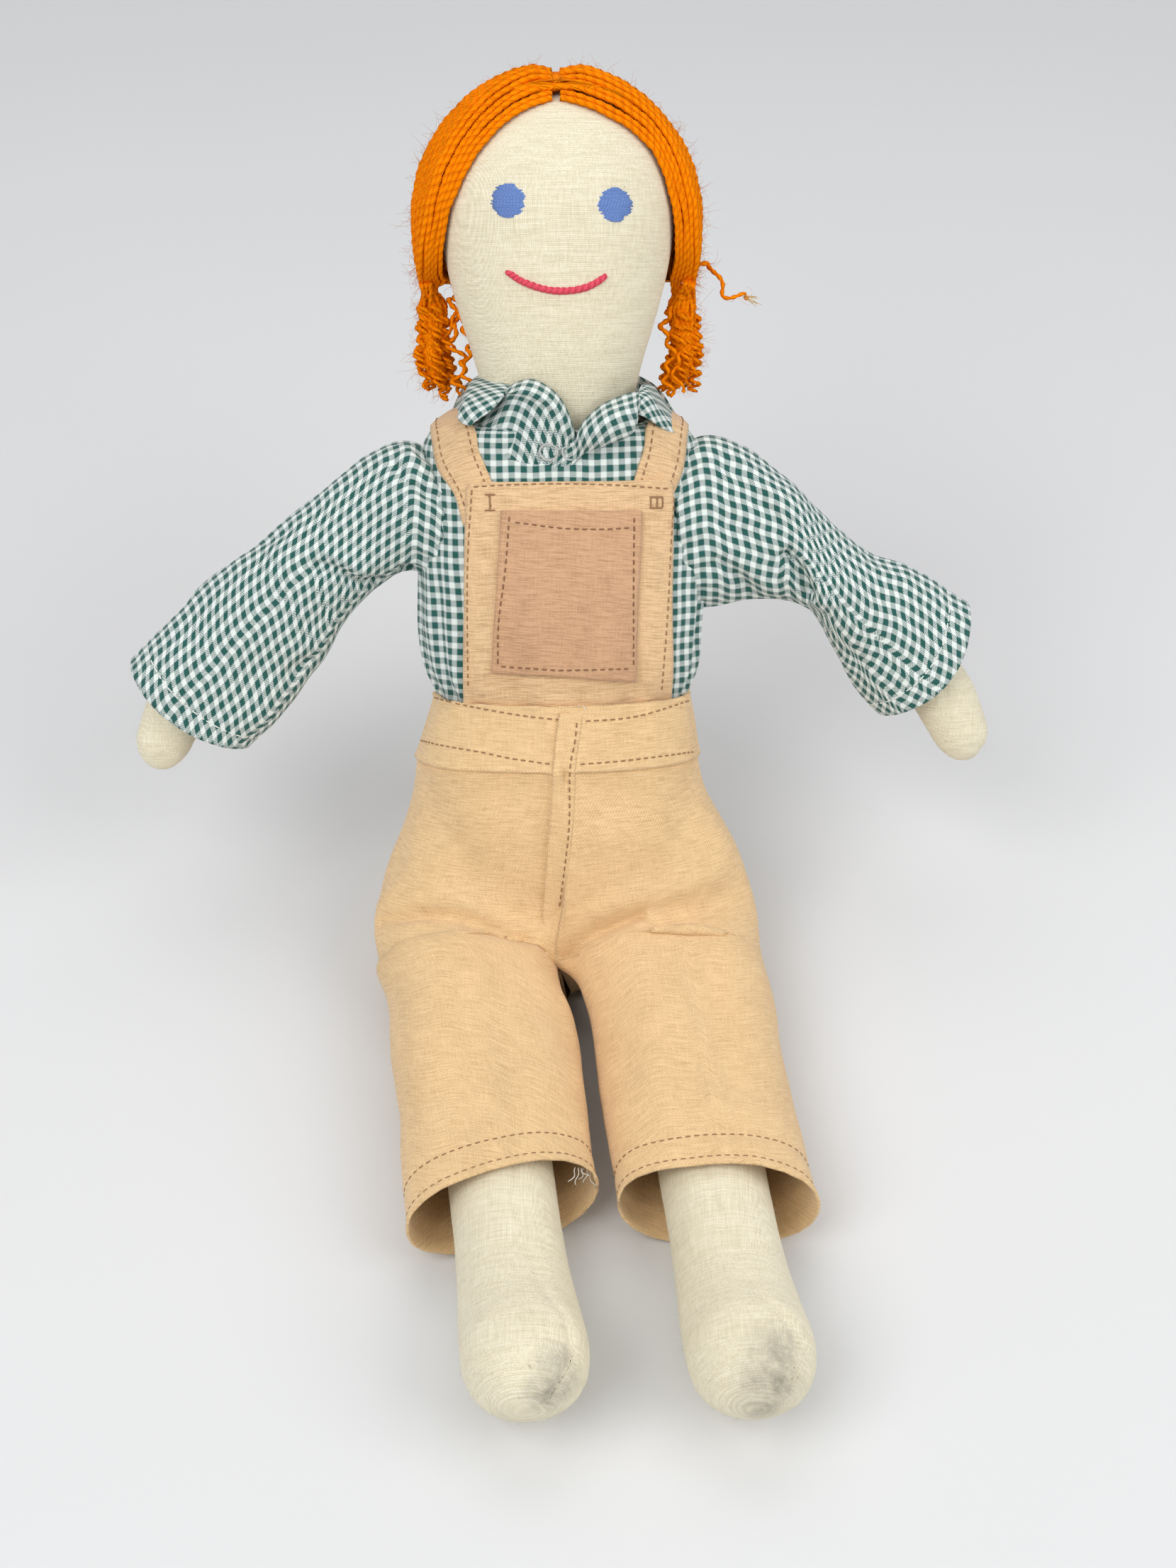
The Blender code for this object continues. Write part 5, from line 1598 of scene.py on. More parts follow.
def trouser_normals(points):
    """The outward normals of one half, which point up on top of the thigh."""
    normals = grid_normals(points, False)
    return normals if normals[90, trouser_columns // 4, 2] >= 0 else -normals


def slimmed(points):
    """The right side of the waist, drawn in as the picture shows it."""
    moved = points.copy()
    ups = (points - np.array(spine_foot)) @ np.array(spine_way)
    share = np.interp(ups, (0.018, 0.028, 0.038, 0.048, 0.054, 0.070), (0.0, 0.25, 0.75, 1.0, 0.9, 0.15))
    moved[..., 0] -= 0.0046 * share * np.clip(points[..., 0] / 0.050, 0.0, 1.0)
    return moved


trousers, trouser_grids = {}, {}
for side, name in ((-1, "left"), (1, "right")):
    points = relax_trousers(trouser_points(side, name), side, 22)
    normals = trouser_normals(points)
    tree = tree_of(points)
    for spots, depth, width, fade in trouser_folds[side]:
        if width > sharp_width:
            points = press_line(points, normals, seen_line(tree, spots), depth, width, fade)
    points = ripple(points, normals, 30.0, 0.0018, 11 + side)
    points = ripple(points, normals, 85.0, 0.0005, 14 + side)
    points = relax_trousers(hold_trousers(points, side), side, 3)
    tree = tree_of(points)
    spot, amount = hip_corners[side]
    start, way = sight(*spot)
    gap = np.linalg.norm(points - np.array(tree.ray_cast(start, way)[0]), axis=2)
    points[..., 0] += side * amount * np.exp(-(gap / 0.015) ** 2)
    near = np.exp(-(np.linalg.norm(points - np.array(crotch_place), axis=2) / 0.016) ** 2)
    points = points + np.array(tuple(crotch_shift)) * near[..., None]
    tree = tree_of(points)
    normals = trouser_normals(points)
    for spots, depth, width, fade in trouser_folds[side]:
        if width <= sharp_width:
            points = press_line(points, crease_way, seen_line(tree, spots), depth, width, fade)
    points = slimmed(points)
    if side < 0:
        middle_edges = points[:crotch_rows + 1, [0, -1]].copy()
    points[:crotch_rows + 1, [0, -1]] = middle_edges
    points[..., 2] = np.maximum(points[..., 2], floor_gap)
    points = slant_hem(points, side)
    normals = trouser_normals(points)
    for distance in hem_seams:
        row = points.shape[0] - 1 - distance / hem_row_step
        for index in range(points.shape[0] - 12, points.shape[0]):
            points[index] -= normals[index] * 0.00035 * math.exp(-((index - row) / 0.7) ** 2)
    ups = (points - np.array(spine_foot)) @ np.array(spine_way)
    axis = np.array(spine_foot) + ups[..., None] * np.array(spine_way)
    outward = (points - axis) / np.linalg.norm(points - axis, axis=2, keepdims=True)
    points = points - outward * (np.clip(ups - waist_foot - 0.0006, 0.0, 0.004) * 1.3)[..., None]
    trouser_grids[side] = points
    piece = cloth_piece("dungarees_half_" + name, points, drill, True, drill_wall, flip=side > 0)
    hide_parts("trouser_leg_" + name, "dungarees_seat")
    start = Vector((0.0, -0.034, 0.026))
    end = start + Vector((side * 1.0, -1.6, 0.0)).normalized() * 0.030
    tuple(start)
    tuple(end)
    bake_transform(piece)
    trousers[side] = piece
    hem_lines = []
    for distance in hem_seams:
        share = 1.0 - distance / hem_row_step / (points.shape[0] - 1)
        hem_lines.append(grid_line(points, normals, ((0.0, share), (1.0, share)), -0.0001, 300))
    sew("hem_stitches_" + name, hem_lines, tan_thread, "leg_" + name)


shirt_tree = tree_of(shirt_points)


def waist_grid():
    """The waistband's outside, round it from the back: over the trousers' top, then hugging the shirt."""
    seat_tree = tree_of(trouser_grids[-1], trouser_grids[1])

    def reach_of(tree, way, height):
        centre = torso_point(0.0, 0.0, height)
        return (land(tree, centre + way * 0.12, -way) - centre).length

    def place(across, along):
        turn = math.pi / 2 - math.tau * across
        height = waist_foot + (waist_rim - waist_foot) * along
        way = Vector((math.cos(turn), 0.0, 0.0)) - front_way * math.sin(turn)
        over_bib = ease_step(-math.sin(turn), 0.20, 0.36)
        low = reach_of(seat_tree, way, waist_foot) + 0.0011
        snug = reach_of(shirt_tree, way, max(height, waist_top - 0.0110)) + 0.0015 + 0.0024 * over_bib
        reach = max(low + (snug - low) * along ** 0.9, snug)
        return torso_point(0.0, 0.0, height) + way * reach
    return relax(lay_grid(24, 150, place), True, 6)


waist_points = waist_grid()
waistband = cloth_piece(
    "waistband_cloth", waist_points, drill, True, 0.0014, flip=tube_faces_in(waist_points),
)
dress(waistband, "twill", "torso", "waistband")
declare_sheet(waistband, waist_points)


bib_corners = ((-33.9, 37.5, 66.0), (-31.6, 38.0, 147))
bib_corner = 0.0035
bib_lift = 0.0021


def bib_place(across, along):
    """A place on the bib, over the shirt's front, from under the waistband to its rounded top corners."""
    low, high = bib_corners
    up = (low[2] + (high[2] - low[2]) * along) / 1000
    left = (low[0] + (high[0] - low[0]) * along) / 1000
    right = (low[1] + (high[1] - low[1]) * along) / 1000
    middle, half = (left + right) / 2, (right - left) / 2
    x = (across * 2 - 1) * half
    top_gap, side_gap = high[2] / 1000 - up, half - abs(x)
    if top_gap < bib_corner and side_gap < bib_corner:
        a, b = 1 - side_gap / bib_corner, 1 - top_gap / bib_corner
        a, b = a * math.sqrt(1 - b * b / 2), b * math.sqrt(1 - a * a / 2)
        x = math.copysign(half - bib_corner * (1 - a), x)
        up = high[2] / 1000 - bib_corner * (1 - b)
    hit = land(shirt_tree, torso_point(middle + x, 0.2, up), -front_way)
    if hit is None:
        hit = shirt_tree.find_nearest(torso_point(middle + x, 0.04, up))[0]
    tuck = 0.0009 * (1.0 - ease_step(along, 0.02, 0.10))
    return hit + front_way * (bib_lift - tuck)


bib_rows, bib_columns, bib_step = 76, 66, 1.06
bib_points = relax(lay_grid(bib_rows, bib_columns, bib_place), False, 10)
bib_normals = front_normals(bib_points)
for index in range(bib_columns):
    lift = 0.0005 * math.exp(-((min(index, bib_columns - index) * bib_step - 1.6) / 1.3) ** 2)
    bib_points[:, index] += bib_normals[:, index] * lift
bib_points = ripple(bib_points, bib_normals, 40.0, 0.0009, 21)
pocket_spots = ((627, 857), (809, 868), (640, 652), (818, 652))
for line in (
    ((628.0, 640.0), (622.0, 740.0), (613.0, 862.0)), ((600.0, 870.0), (720.0, 884.0), (842.0, 876.0)),
):
    pressed = seen_line(tree_of(bib_points), line)
    bib_points = press_line(bib_points, bib_normals, pressed, 0.0004, 0.0013, 0.15)
bib_tree = tree_of(bib_points)
bib = cloth_piece("bib_cloth", bib_points, bib_drill, False, 0.0013)
dress(bib, "twill", "torso", "bib")
declare_sheet(bib, bib_points)

strap_width, strap_centre_height = 0.0125, 0.110
strap_spacings = {
    -1: (
        (0.72, 0.0262), (0.85, 0.0275), (0.99, 0.0293), (1.24, 0.0355), (1.57, 0.0378), (2.4, 0.0340),
        (4.20, 0.020),
    ),
    1: (
        (0.72, 0.0285), (0.85, 0.0297), (0.99, 0.0312), (1.24, 0.0358), (1.57, 0.0378), (2.4, 0.0340),
        (4.20, 0.020),
    ),
}
strap_start, strap_end = 0.74, 4.08
dressed_tree = tree_of(shirt_points, sleeve_grids[-1], sleeve_grids[1])


def strap_grid(side):
    """A strap's outside, from behind the bib's corner over the shoulder to the back of the waist."""
    def place(across, along):
        angle = strap_start + (strap_end - strap_start) * along
        offset = (across - 0.5) * strap_width
        x = side * curve_at(strap_spacings[side], angle) + offset
        centre = torso_point(x, 0.0, strap_centre_height)
        way = front_way * math.cos(angle) + spine_way * math.sin(angle)
        hit = shirt_tree.ray_cast(centre + way * 0.12, -way)[0]
        if hit is None:
            hit = shirt_tree.find_nearest(centre + way * 0.048)[0]
        return hit + way * 0.0017

    points = relax(lay_grid(150, 14, place), False, 10)
    for lift in (0.0012, 0.0016, 0.0019):
        points = relax(points, False, 2)
        for row in range(points.shape[0]):
            angle = strap_start + (strap_end - strap_start) * row / (points.shape[0] - 1)
            way = front_way * math.cos(angle) + spine_way * math.sin(angle)
            for column in range(points.shape[1]):
                here = Vector(points[row, column])
                hit = dressed_tree.ray_cast(here + way * 0.012, -way)[0]
                if hit is not None and (hit - here).dot(way) > -lift:
                    points[row, column] = hit + way * lift
    return relax(points, False, 1)


for side, name in ((-1, "left"), (1, "right")):
    strap_points = strap_grid(side)
    strap_normals = normals_from(strap_points, False, torso_point(side * 0.035, 0.0, strap_centre_height))
    facing = np.cross(strap_points[0, 1] - strap_points[0, 0], strap_points[1, 0] - strap_points[0, 0])
    piece = cloth_piece(
        "strap_cloth_" + name, strap_points, bib_drill, False, 0.0013,
        flip=bool(facing @ strap_normals[0, 0] < 0),
    )
    dress(piece, "twill", "torso", "strap_" + name)
    declare_sheet(piece, strap_points)
    edges = [
        grid_line(strap_points, strap_normals, ((across, 0.02), (across, 0.98)), 0.0, 300)
        for across in (0.16, 0.84)
    ]
    sew("strap_stitches_" + name, edges, tan_thread, "torso")


def pocket_place(across, along):
    """A place on the pocket, between its four corners of the picture, over the bib."""
    low_left, low_right, high_left, high_right = (Vector(spot) for spot in pocket_spots)
    spot = low_left.lerp(low_right, across).lerp(high_left.lerp(high_right, across), along)
    place, out = seen_on(bib_tree, spot.x, spot.y)
    return place + out * 0.00125


pocket_points = relax(lay_grid(52, 46, pocket_place), False, 3)
pocket_points = ripple(pocket_points, front_normals(pocket_points), 60.0, 0.0006, 31)
pocket = cloth_piece("pocket_cloth", pocket_points, pocket_drill, False, 0.0011)
dress(pocket, "twill", "torso", "bib_pocket")
declare_sheet(pocket, pocket_points)

pocket_tree = tree_of(pocket_points)
bib_seams = (
    ((602, 621), (660, 618), (720, 617), (790, 619), (860, 624)),
    ((602, 623), (597, 706), (596, 769), (597, 872)),
    ((860, 628), (856, 693), (853, 756), (850, 807), (844, 880)),
)
sew("bib_stitches", [seam_line(bib_tree, seam) for seam in bib_seams], tan_thread, "torso")
pocket_seams = (
    ((650, 657), (644, 731), (636, 794), (635, 848)),
    ((637, 850), (680, 853), (720, 855), (806, 853)),
    ((808, 850), (808, 756), (809, 657)),
    ((655, 666), (720, 674), (770, 675), (806, 673)),
)
sew("pocket_stitches", [seam_line(pocket_tree, seam) for seam in pocket_seams], pocket_thread, "torso")
tacks = (
    ((625, 630), (625, 652)), ((619, 631), (632, 631)), ((619, 651), (632, 651)),
    ((829, 634), (846, 634)), ((829, 648), (846, 648)), ((830, 634), (830, 648)),
    ((845, 634), (845, 648)), ((838, 634), (838, 648)),
)
sew(
    "bib_tacks", [seam_line(bib_tree, tack, 0.0001, 8) for tack in tacks], tan_thread, "torso", 0.0011,
    0.0013,
)

seat_tree = tree_of(waist_points, trouser_grids[-1], trouser_grids[1])
fly_edges = (
    ((714, 909), (709.5, 940), (707, 974), (703, 1042), (696, 1127), (692, 1190)),
    ((744, 909), (740, 940), (735, 974), (732, 1042), (724, 1110), (708, 1192)),
)


def fly_place(across, along):
    """A place on the fly's facing: its left edge a raised fold, its right edge run into the front."""
    spot = path_at(fly_edges[0], 1.0 - along).lerp(path_at(fly_edges[1], 1.0 - along), across)
    place, out = seen_on(seat_tree, spot.x, spot.y)
    sunk = 0.0016 * (1.0 - ease_step(along, 0.0, 0.10)) + 0.0007 * ease_step(along, 0.98, 1.0)
    return place + out * (0.0012 - 0.0011 * across - sunk)


fly_points = relax(lay_grid(70, 10, fly_place), False, 2)
fly = cloth_piece("fly_cloth", fly_points, drill, False, 0.0010)
dress(fly, "twill", "torso", "fly_facing")
for side, name in ((-1, "left"), (1, "right")):
    declare_sheet(
        trousers[side], trouser_grids[side],
    )

front_seams = (
    ((551, 889), (590, 899), (637, 908), (675, 914), (712, 918)),
    ((745, 920), (790, 917), (824, 911), (878, 894)),
    ((534, 944), (570, 952), (611, 959), (655, 968), (706, 975)),
    ((738, 975), (790, 971), (840, 965), (884, 959)),
)
fly_seam = ((736, 920), (733, 948), (727, 982), (726, 1051), (721, 1102), (713, 1160))
whole_front = tree_of(waist_points, trouser_grids[-1], trouser_grids[1], fly_points)
sew(
    "waist_stitches", [seam_line(whole_front, seam) for seam in (*front_seams, fly_seam)], tan_thread,
    "torso",
)


# Hair

strand_radius = 0.00108
strand_count = 64
yarn_twist, yarn_lobe = 150, 0.17
nape_turn, gather_start = 128, 0.58
head_middle = head_point(0.0, 0.0, 0.055)
hairlines = {
    -1: (
        (-0.6, 16.5, 48.2), (-12.6, 19.8, 42.9), (-25.4, 21.7, 30.6), (-32.1, 19.5, 18.4),
        (-36.0, 14.1, 6.2), (-37.5, 7.0, -3.0), (-39.5, -3.0, -9.0),
    ),
    1: (
        (0.6, 16.4, 48.3), (14.5, 18.4, 43.4), (28.3, 16.6, 34.0), (35.0, 14.8, 20.0),
        (38.4, 11.0, 8.0), (39.2, 5.0, -1.0), (39.5, -4.0, -9.0),
    ),
}
head_tree = skin_of("head")


def hair_way(across, front, up):
    """A direction from the head's middle."""
    return (Vector((across, 0.0, 0.0)) + front_way * front + spine_way * up).normalized()


def turned_hairline(side, part, degrees):
    """A direction to the hairline, turned back over the head about the line through the ears."""
    spot = path_at(hairlines[side], part)
    turn = math.radians(degrees)
    front = spot.y * math.cos(turn) - spot.z * math.sin(turn)
    return hair_way(spot.x, front, spot.y * math.sin(turn) + spot.z * math.cos(turn))


def strand_path(side, share, layer):
    """One strand: the hairline turned back over the head, drawn in to the gather at the ear."""
    path = []
    back = nape_turn * share
    gather = turned_hairline(side, 1.0, (6.0 + 16.0 * share) * share)
    for step in range(31):
        part = step / 30
        drawn = ease_step(part, 0.30, 1.0)
        way = turned_hairline(side, part, back * (1.0 - drawn) + (6.0 + 16.0 * share) * share * drawn)
        swept = turned_hairline(side, min(part, gather_start), back)
        swept = swept.slerp(gather, max(part - gather_start, 0.0) / (1.0 - gather_start))
        way = way.slerp(swept, ease_step(back, 6.0, 36.0))
        hit = head_tree.ray_cast(head_middle + way * 0.15, -way)[0]
        edge = ease_step(back, 0.0, 11.0)
        lift = 0.0011 + 0.0045 * edge - 0.0019 * (1.0 - ease_step(part, 0.0, 0.07)) * edge
        lift += layer * (0.0002 + 0.0011 * ease_step(part, 0.35, 0.95))
        wander = 0.00055 * noise.noise(Vector((share * 90.0, part * 3.0, side * 5.0)))
        path.append(hit + way * (lift + wander) + Vector((side * 0.0009, 0.0, 0.0)))
    return path


def bunch_place(side, share):
    """The middle line of a bunch, from the ear down behind the collar."""
    out = curve_at(((0.0, 0.99), (0.28, 0.985), (0.65, 1.0), (1.0, 0.92)), share)
    back = curve_at(((0.0, 1.0), (0.28, 0.95), (0.65, 1.0), (1.0, 1.3)), share)
    return head_point(side * 0.0434 * out, -0.008 * back, 0.044 - 0.034 * share)


def finer_path(path, steps):
    """A smooth path through given places."""
    return [path_at(path, index / steps) for index in range(steps + 1)]


def hair_strands(side):
    """All the strands of one side, each run on a little into its bunch."""
    strands = []
    for index in range(strand_count):
        share = index / (strand_count - 1)
        path = strand_path(side, share, index % 3)
        turn = chance.uniform(0.0, math.tau)
        reach = 0.0046 * math.sqrt(chance.uniform(0.05, 1.0))
        for drop in (0.14, 0.30, 0.46):
            middle = bunch_place(side, drop)
            aside = Vector((math.cos(turn) * reach, math.sin(turn) * reach, 0.0))
            path.append(middle + aside * (1.0 - drop * 0.3))
        strands.append(finer_path(path, 150))
    return strands


def curl_path(side, start, end, length, swing, turns, seed):
    """A crimped curl winding down round its own line."""
    source = random.Random(seed)
    count = int(length / 0.0006)
    first = bunch_place(side, start)
    angle = source.uniform(0.0, math.tau)
    spread = 0.0052 * math.sqrt(source.uniform(0.1, 1.0))
    path = []
    for step in range(count):
        part = step / (count - 1)
        share = start + (end - start) * part
        middle = bunch_place(side, min(share, 1.0)) - spine_way * max(share - 1.0, 0.0) * 0.034
        aside = Vector((math.cos(angle), math.sin(angle), 0.0)) * spread * (0.7 + 0.5 * part)
        wind = math.tau * turns * part + angle
        loose = 0.8 + 0.4 * noise.noise(Vector((seed * 1.3, part * 5.0, 0.0)))
        grow = swing * ease_step(part, 0.0, 0.12) * loose
        coil = (Vector((1.0, 0.0, 0.0)) * math.cos(wind) - front_way * math.sin(wind)) * grow
        sway = [noise.noise(Vector((part * 4.0, seed, row))) for row in (1.0, 9.0)]
        sway = Vector((*sway, 0.0)) * 0.002
        path.append(middle + aside + coil + sway)
    return path


def at_depth(x, y, place):
    """The place seen at a place of the picture, at another place's distance from the camera."""
    start, way = sight(x, y)
    view = camera_frame()[1]
    return start + way * ((place - start).dot(view) / way.dot(view))


def coiled(path, swing, turns, steps, seed):
    """A yarn wound in loose coils along a given line."""
    coils = []
    view, right, up = camera_frame()[1:4]
    for step in range(steps + 1):
        part = step / steps
        middle = path_at(path, part)
        wind = math.tau * turns * part + seed
        grow = swing * ease_step(part, 0.0, 0.15)
        coils.append(middle + (right * math.cos(wind) + view * math.sin(wind)) * grow)
    return coils


def any_way(source):
    """A random direction and length."""
    return Vector((source.uniform(-1, 1), source.uniform(-1, 1), source.uniform(-1, 1)))


def thinning(loss):
    """A taper that takes this share off a thread's thickness by its end."""
    return lambda part: 1.0 - loss * part


def frizz(name, paths, count, body_radius, shortest, longest, seed):
    """Loose fibres standing out of yarn, each in its own small curl."""
    source = random.Random(seed)
    fibres = []
    for _ in range(count):
        path = source.choice(paths)
        spot = source.randrange(2, len(path) - 2)
        place = path[spot]
        away = (place - head_middle).normalized()
        loose = any_way(source)
        heading = (away * 0.75 + loose * 0.75).normalized()
        axis = any_way(source).normalized()
        length = source.uniform(shortest, longest) * source.uniform(0.5, 1.0)
        bend = source.uniform(-0.75, 0.75)
        fibre = [place + away * body_radius * 0.4]
        for _ in range(6):
            heading = (Quaternion(axis, bend) @ heading).normalized()
            fibre.append(fibre[-1] + heading * length / 6)
        fibres.append(fibre)
    dress(thread_piece(name, fibres, 0.000052, orange_fibre, 3, thinning(0.6)), "yarn", "head")


def shrunk_copy(name, nodes, amount, shade):
    """CAD forms drawn in under their own surface, to close what strands leave open."""
    copies = []
    for node in nodes:
        copy = bpy.data.objects.new(name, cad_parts[node].data.copy())
        bpy.context.scene.collection.objects.link(copy)
        copy.data.materials.clear()
        copy.data.materials.append(shade)
        pick(copy)
        bpy.ops.object.mode_set(mode="EDIT")
        bpy.ops.mesh.select_all(action="SELECT")
        bpy.ops.mesh.remove_doubles(threshold=1e-6)
        bpy.ops.object.mode_set(mode="OBJECT")
        normals = [vertex.normal.copy() for vertex in copy.data.vertices]
        for vertex, normal in zip(copy.data.vertices, normals):
            vertex.co -= normal * amount
        copies.append(copy)
    pick(*copies)
    if len(copies) > 1:
        bpy.ops.object.join()
    piece = bpy.context.object
    piece.name = name
    piece.data.name = name
    bpy.ops.object.shade_smooth()
    for layer in list(piece.data.uv_layers):
        piece.data.uv_layers.remove(layer)
    piece.data.uv_layers.new(name="thread")
    return piece


def soften(part):
    """A strand's thickness along it: fuller at the parting, drawn tight at the gather."""
    return 1.0 - 0.30 * ease_step(part, 0.45, 0.9)


picture_curls = {
    -1: (
        ((549, 322), (547, 336), (557, 362), (536, 385), (544, 408), (552, 426)),
        ((566, 318), (567, 340), (580, 375), (588, 393), (568, 427), (577, 446)),
        ((572, 380), (584, 410), (574, 440), (596, 462), (580, 486), (598, 500)),
        ((585, 400), (600, 440), (590, 470), (604, 498)),
    ),
    1: (
        (
            (866, 352), (880, 345), (893, 337), (905, 337), (915, 352), (920, 370), (932, 381), (946, 374),
            (957, 381),
        ),
        ((868, 372), (872, 400), (858, 420), (872, 445), (860, 470), (870, 500)),
        ((858, 390), (846, 420), (858, 450), (848, 480), (860, 505)),
    ),
}
curl_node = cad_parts["hair_curl_right"].data
curl_depth = sum((vertex.co for vertex in curl_node.vertices), Vector()) / len(curl_node.vertices)
for side, name in ((-1, "left"), (1, "right")):
    strands = hair_strands(side)
    piece = thread_piece(
        "hair_strands_" + name, strands, strand_radius, orange_yarn, 8, soften, yarn_twist, yarn_lobe,
    )
    dress(piece, "yarn", "head")
    curls = []
    for index in range(20):
        start = 0.02 + 0.34 * (index % 5) / 5
        end, length = 0.92 + 0.16 * ((index * 7) % 5) / 5, 0.040 + 0.002 * (index % 7)
        curls.append(curl_path(side, start, end, length, 0.0019, 6 + index % 3, 40 + index + 50 * side))
    middle = bunch_place(side, 0.5) + front_way * 0.004
    for index, spots in enumerate(picture_curls[side]):
        depth = curl_depth if side > 0 and index == 0 else middle
        line = [at_depth(x, y, depth) for x, y in spots]
        curls.append(coiled(line, 0.0011, 5 if index else 3.5, 130, index * 1.3))
    locks = thread_piece("hair_curls_" + name, curls, 0.00088, orange_yarn, 8, thinning(0.35), 190.0, 0.20)
    dress(locks, "yarn", "head")
    frizz("hair_frizz_" + name, strands + curls * 2, 1500, strand_radius, 0.003, 0.0095, 90 + side)
    if side > 0:
        tip = [at_depth(x, y, curl_depth) for x, y in ((950.0, 378.0), (957.0, 381.0))]
        wisps = []
        for index in range(16):
            aside = any_way(chance) * 0.0009
            ahead = (tip[1] - tip[0]).normalized() * chance.uniform(0.0010, 0.0032)
            wisps.append([tip[0] + aside * 0.4, tip[1] + aside, tip[1] + aside * 1.8 + ahead])
        frayed = thread_piece("hair_frayed_tip", wisps, 0.00013, pale_fibre, 4, thinning(0.5))
        dress(frayed, "yarn", "head")

cap = shrunk_copy("hair_cap", ("hair",), 0.0036, orange_yarn)
dress(cap, "yarn", "head", "hair")
cores = shrunk_copy("hair_bunch_cores", ("hair_bunch_left", "hair_bunch_right"), 0.0028, orange_yarn)
dress(cores, "yarn", "head", "hair_bunch_left", "hair_bunch_right", "hair_curl_right")


# Loose fibres and threads

def surface_fuzz(name, piece, body, count, longest, keep, seed):
    """Fine cotton fibres that stand off a handled surface."""
    source = random.Random(seed)
    spots = [vertex for vertex in piece.data.vertices if keep(vertex.co)]
    fibres = []
    for _ in range(count):
        vertex = source.choice(spots)
        loose = any_way(source)
        heading = (vertex.normal + loose * 0.9).normalized()
        axis = any_way(source).normalized()
        length, bend = source.uniform(0.3, 1.0) * longest, source.uniform(-0.7, 0.7)
        fibre = [vertex.co - vertex.normal * 0.0002]
        for _ in range(4):
            heading = (Quaternion(axis, bend) @ heading).normalized()
            fibre.append(fibre[-1] + heading * length / 4)
        fibres.append(fibre)
    fuzz = thread_piece(name, fibres, 0.000030, calico_fibre, 3, thinning(0.6))
    dress(fuzz, "calico", body)


for side, name in ((-1, "left"), (1, "right")):
    shin, way = leg_point(side, 0.0, 0.118, 0.0), leg_way(side)
    surface_fuzz(
        "leg_fuzz_" + name, legs[side], "leg_" + name, 1100, 0.0030,
        lambda place: (place - shin).dot(way) > 0, 60 + side,
    )
    cuff = torso_point(side * 0.128, 0.0, 0.075)
    surface_fuzz(
        "hand_fuzz_" + name, arms[side], "arm_" + name, 350, 0.0022,
        lambda place: (place - cuff).x * side > -0.004, 70 + side,
    )

frayed = []
hem_tree = tree_of(trouser_grids[-1])
for index in range(12):
    x, y = 712.0 + index * 3.6, 1487.0 + 0.35 * index
    root = land(hem_tree, *sight(x, y - 8.0)) + Vector((0.0, 0.002, -0.001))
    path = []
    for step in range(7):
        part = step / 6
        swing = math.sin(part * 5.0 + index * 1.9) * 5.0
        aside, drop = swing * part + (index % 3 - 1) * 6 * part, (10.0 + 12.0 * (index % 4) / 3) * part
        path.append(at_depth(x + aside, y + drop, root))
    frayed.append(path)
fray = thread_piece("frayed_hem_threads", frayed, 0.00014, white_thread, 4)
dress(fray, "twill", "leg_left")
stray_spots = ((735, 893), (737, 901), (743, 899), (747, 905))
stray = [place for place, _ in seam_line(whole_front, stray_spots, 0.0009, 14)]
stray = thread_piece("stray_thread", [stray], 0.00016, white_thread, 5)
dress(stray, "twill", "torso")


# Face

def face_place(x, y, lift):
    """The place on the face seen at a place of the picture, raised off the cloth."""
    start, way = sight(x, y)
    place, out = head_tree.ray_cast(start, way)[:2]
    return place + out * lift


eye_radius, eye_rows = 21.5, 23
for node, middle in (("eye_left", (649.0, 256.0)), ("eye_right", (783.0, 261.0))):
    paths = []
    for index in range(eye_rows):
        level = -1.0 + 2.0 * (index + 0.5) / eye_rows
        half = math.sqrt(max(1.0 - level ** 2, 0.0)) * eye_radius
        start = middle[0] - half + chance.uniform(-3.4, 1.8)
        end = middle[0] + half + chance.uniform(-1.8, 3.4)
        path = []
        for step in range(9):
            part = step / 8
            bulge = math.sin(part * math.pi) ** 0.5 * 0.0007 - 0.0003
            x = start + (end - start) * part
            y = middle[1] + level * eye_radius + chance.uniform(-0.3, 0.3)
            path.append(face_place(x, y, bulge + 0.0001))
        paths.append(path)
    piece = thread_piece("satin_" + node, paths, 0.00034, blue_silk, 6)
    dress(piece, "blue_thread", "head", node)

mouth_line = ((648, 346.5), (666, 358.5), (692, 368), (718, 371), (747, 366.5), (771, 353.5))
mouth_paths = []
mouth_stitches = 17
for index in range(mouth_stitches):
    share = (index + 0.5) / mouth_stitches
    ends = []
    for offset, slant in ((-0.065, -2.6), (-0.03, -1.0), (0.0, 0.0), (0.03, 1.0), (0.065, 2.6)):
        spot = path_at(mouth_line, min(max(share + offset, 0.0), 1.0))
        rise = 0.0011 * (1.0 - (offset / 0.065) ** 2) - 0.0002
        ends.append(face_place(spot.x, spot.y - slant, rise))
    mouth_paths.append(ends)
mouth = thread_piece("stitched_mouth", mouth_paths, 0.00088, red_silk, 8)
dress(mouth, "red_thread", "head", "mouth")

for node in ("fastener_hook", "fastener_eye"):
    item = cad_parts[node]
    item.data.materials.clear()
    item.data.materials.append(wire)


# Setting

def plain_setting(name, tone):
    """A matt paper-like surface with a faint mottle."""
    shade, tree, shader = new_finish(name, 0.75)
    cloud = noise_value(tree, own_places(tree), 6.0, 3.0)
    lighter = tuple(min(value * 1.03, 1.0) for value in tone)
    tree.links.new(mixed(tree, cloud, tone, lighter), shader.inputs["Base Color"])
    return shade


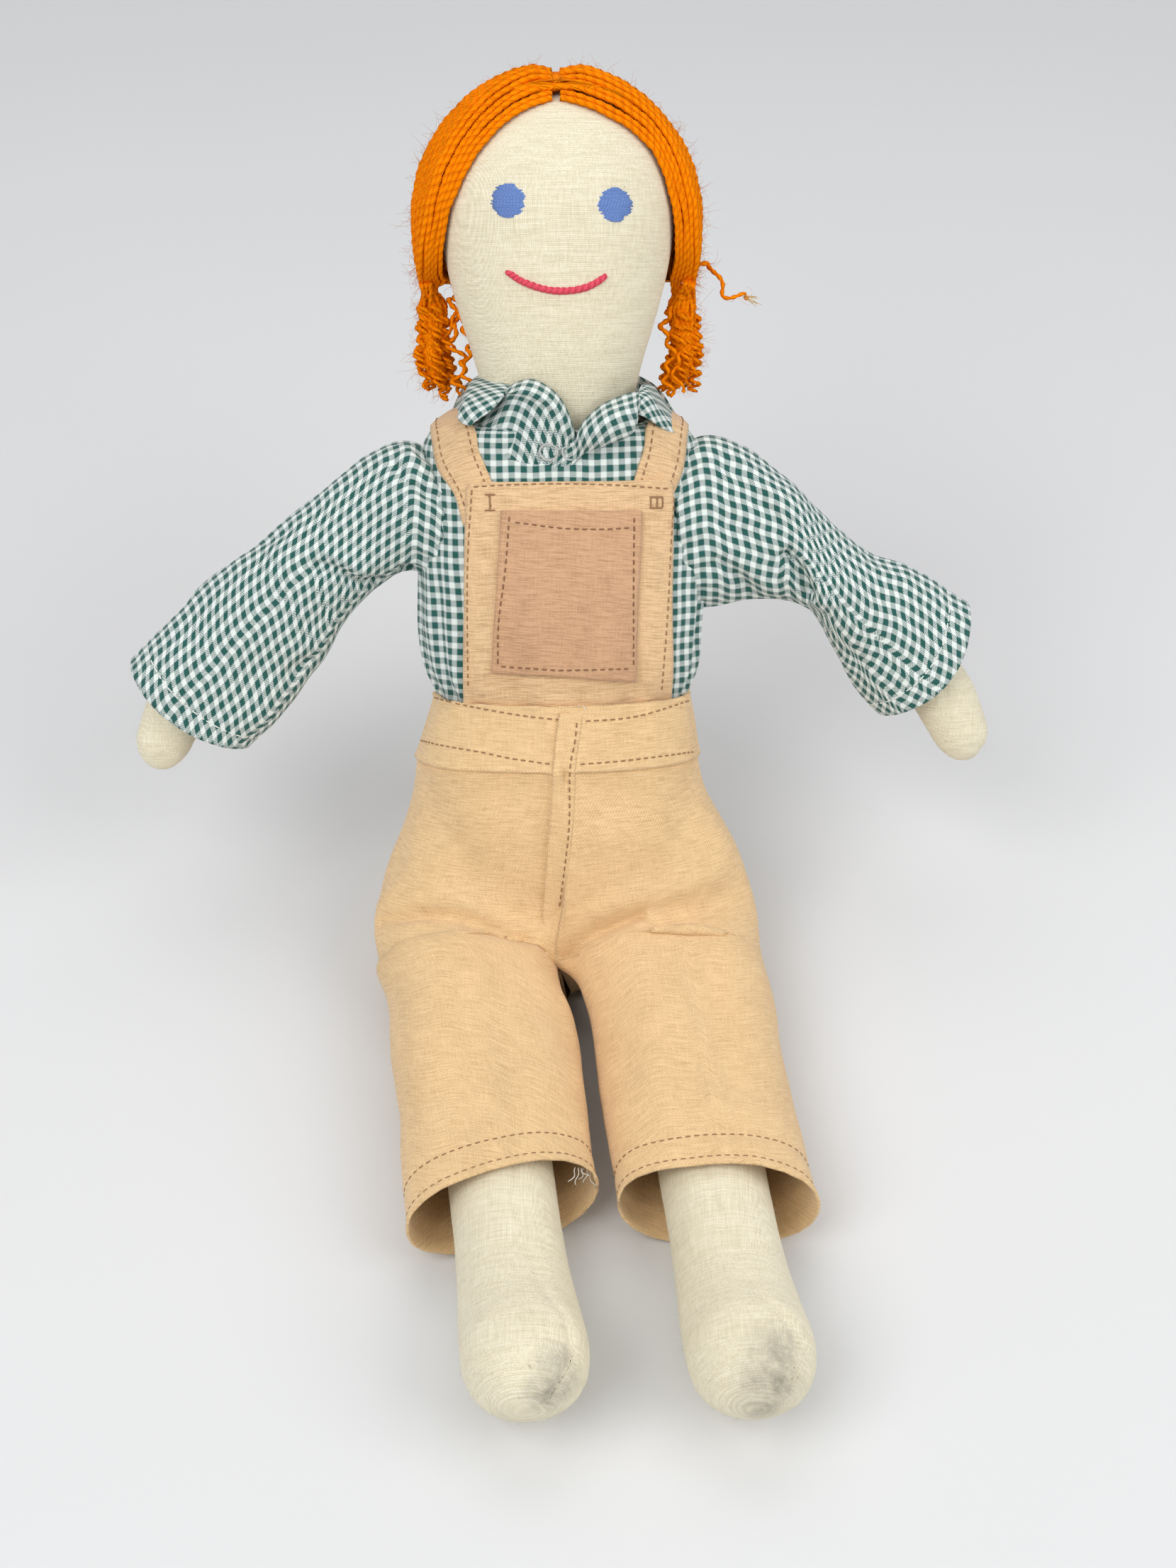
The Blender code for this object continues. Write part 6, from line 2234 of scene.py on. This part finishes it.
def make_floor():
    """A pale sweep: a level floor that curves up behind."""
    deselect()
    bpy.ops.mesh.primitive_grid_add(x_subdivisions=2, y_subdivisions=40, size=2.0)
    floor = bpy.context.object
    floor.name = "studio_floor"
    for vertex in floor.data.vertices:
        far = (vertex.co.y + 1.0) / 2.0
        vertex.co.x *= 3.0
        run = -2.2 + 5.2 * far
        rise = 0.0
        if run > 1.2:
            angle = min((run - 1.2) / 0.9, math.pi / 2)
            rise = 0.9 * (1 - math.cos(angle)) + max(run - 1.2 - 0.9 * math.pi / 2, 0.0)
            run = 1.2 + 0.9 * math.sin(angle)
        vertex.co.y, vertex.co.z = run, rise
    bpy.ops.object.shade_smooth()
    floor.data.materials.append(plain_setting("pale_paper", (0.72, 0.72, 0.715)))


def add_lamp(name, place, aim, size, power):
    """A soft box lamp turned to the doll."""
    lamp = bpy.data.lights.new(name, "AREA")
    lamp.shape = "RECTANGLE"
    lamp.size, lamp.size_y = size
    lamp.energy = power
    holder = bpy.data.objects.new(name, lamp)
    bpy.context.scene.collection.objects.link(holder)
    holder.location = place
    holder.rotation_euler = (Vector(aim) - Vector(place)).to_track_quat("-Z", "Y").to_euler()


def make_camera():
    """The photograph's camera."""
    place, view, right, up, _ = camera_frame()
    lens = bpy.data.cameras.new("picture_camera")
    lens.lens = camera_lens
    lens.sensor_fit = "VERTICAL"
    lens.sensor_height = camera_film_height
    lens.clip_start = 0.01
    holder = bpy.data.objects.new("picture_camera", lens)
    bpy.context.scene.collection.objects.link(holder)
    turn = Matrix((right, up, -view)).transposed()
    holder.matrix_world = Matrix.Translation(place) @ turn.to_4x4()
    bpy.context.scene.camera = holder


make_floor()
add_lamp("key", (-0.9, -0.9, 1.5), (0.0, -0.02, 0.08), (1.2, 1.2), 17.5)
add_lamp("fill", (1.1, -0.6, 1.1), (0.0, 0.0, 0.08), (1.2, 1.2), 11.0)
add_lamp("top", (0.0, 0.6, 1.7), (0.0, 0.0, 0.08), (1.4, 1.0), 5.0)
world = bpy.data.worlds.new("studio_air")
world.use_nodes = True
world.node_tree.nodes["Background"].inputs["Color"].default_value = (0.93, 0.95, 1.0, 1.0)
world.node_tree.nodes["Background"].inputs["Strength"].default_value = 0.48
bpy.context.scene.world = world
bpy.context.scene.view_settings.view_transform = "Standard"
make_camera()
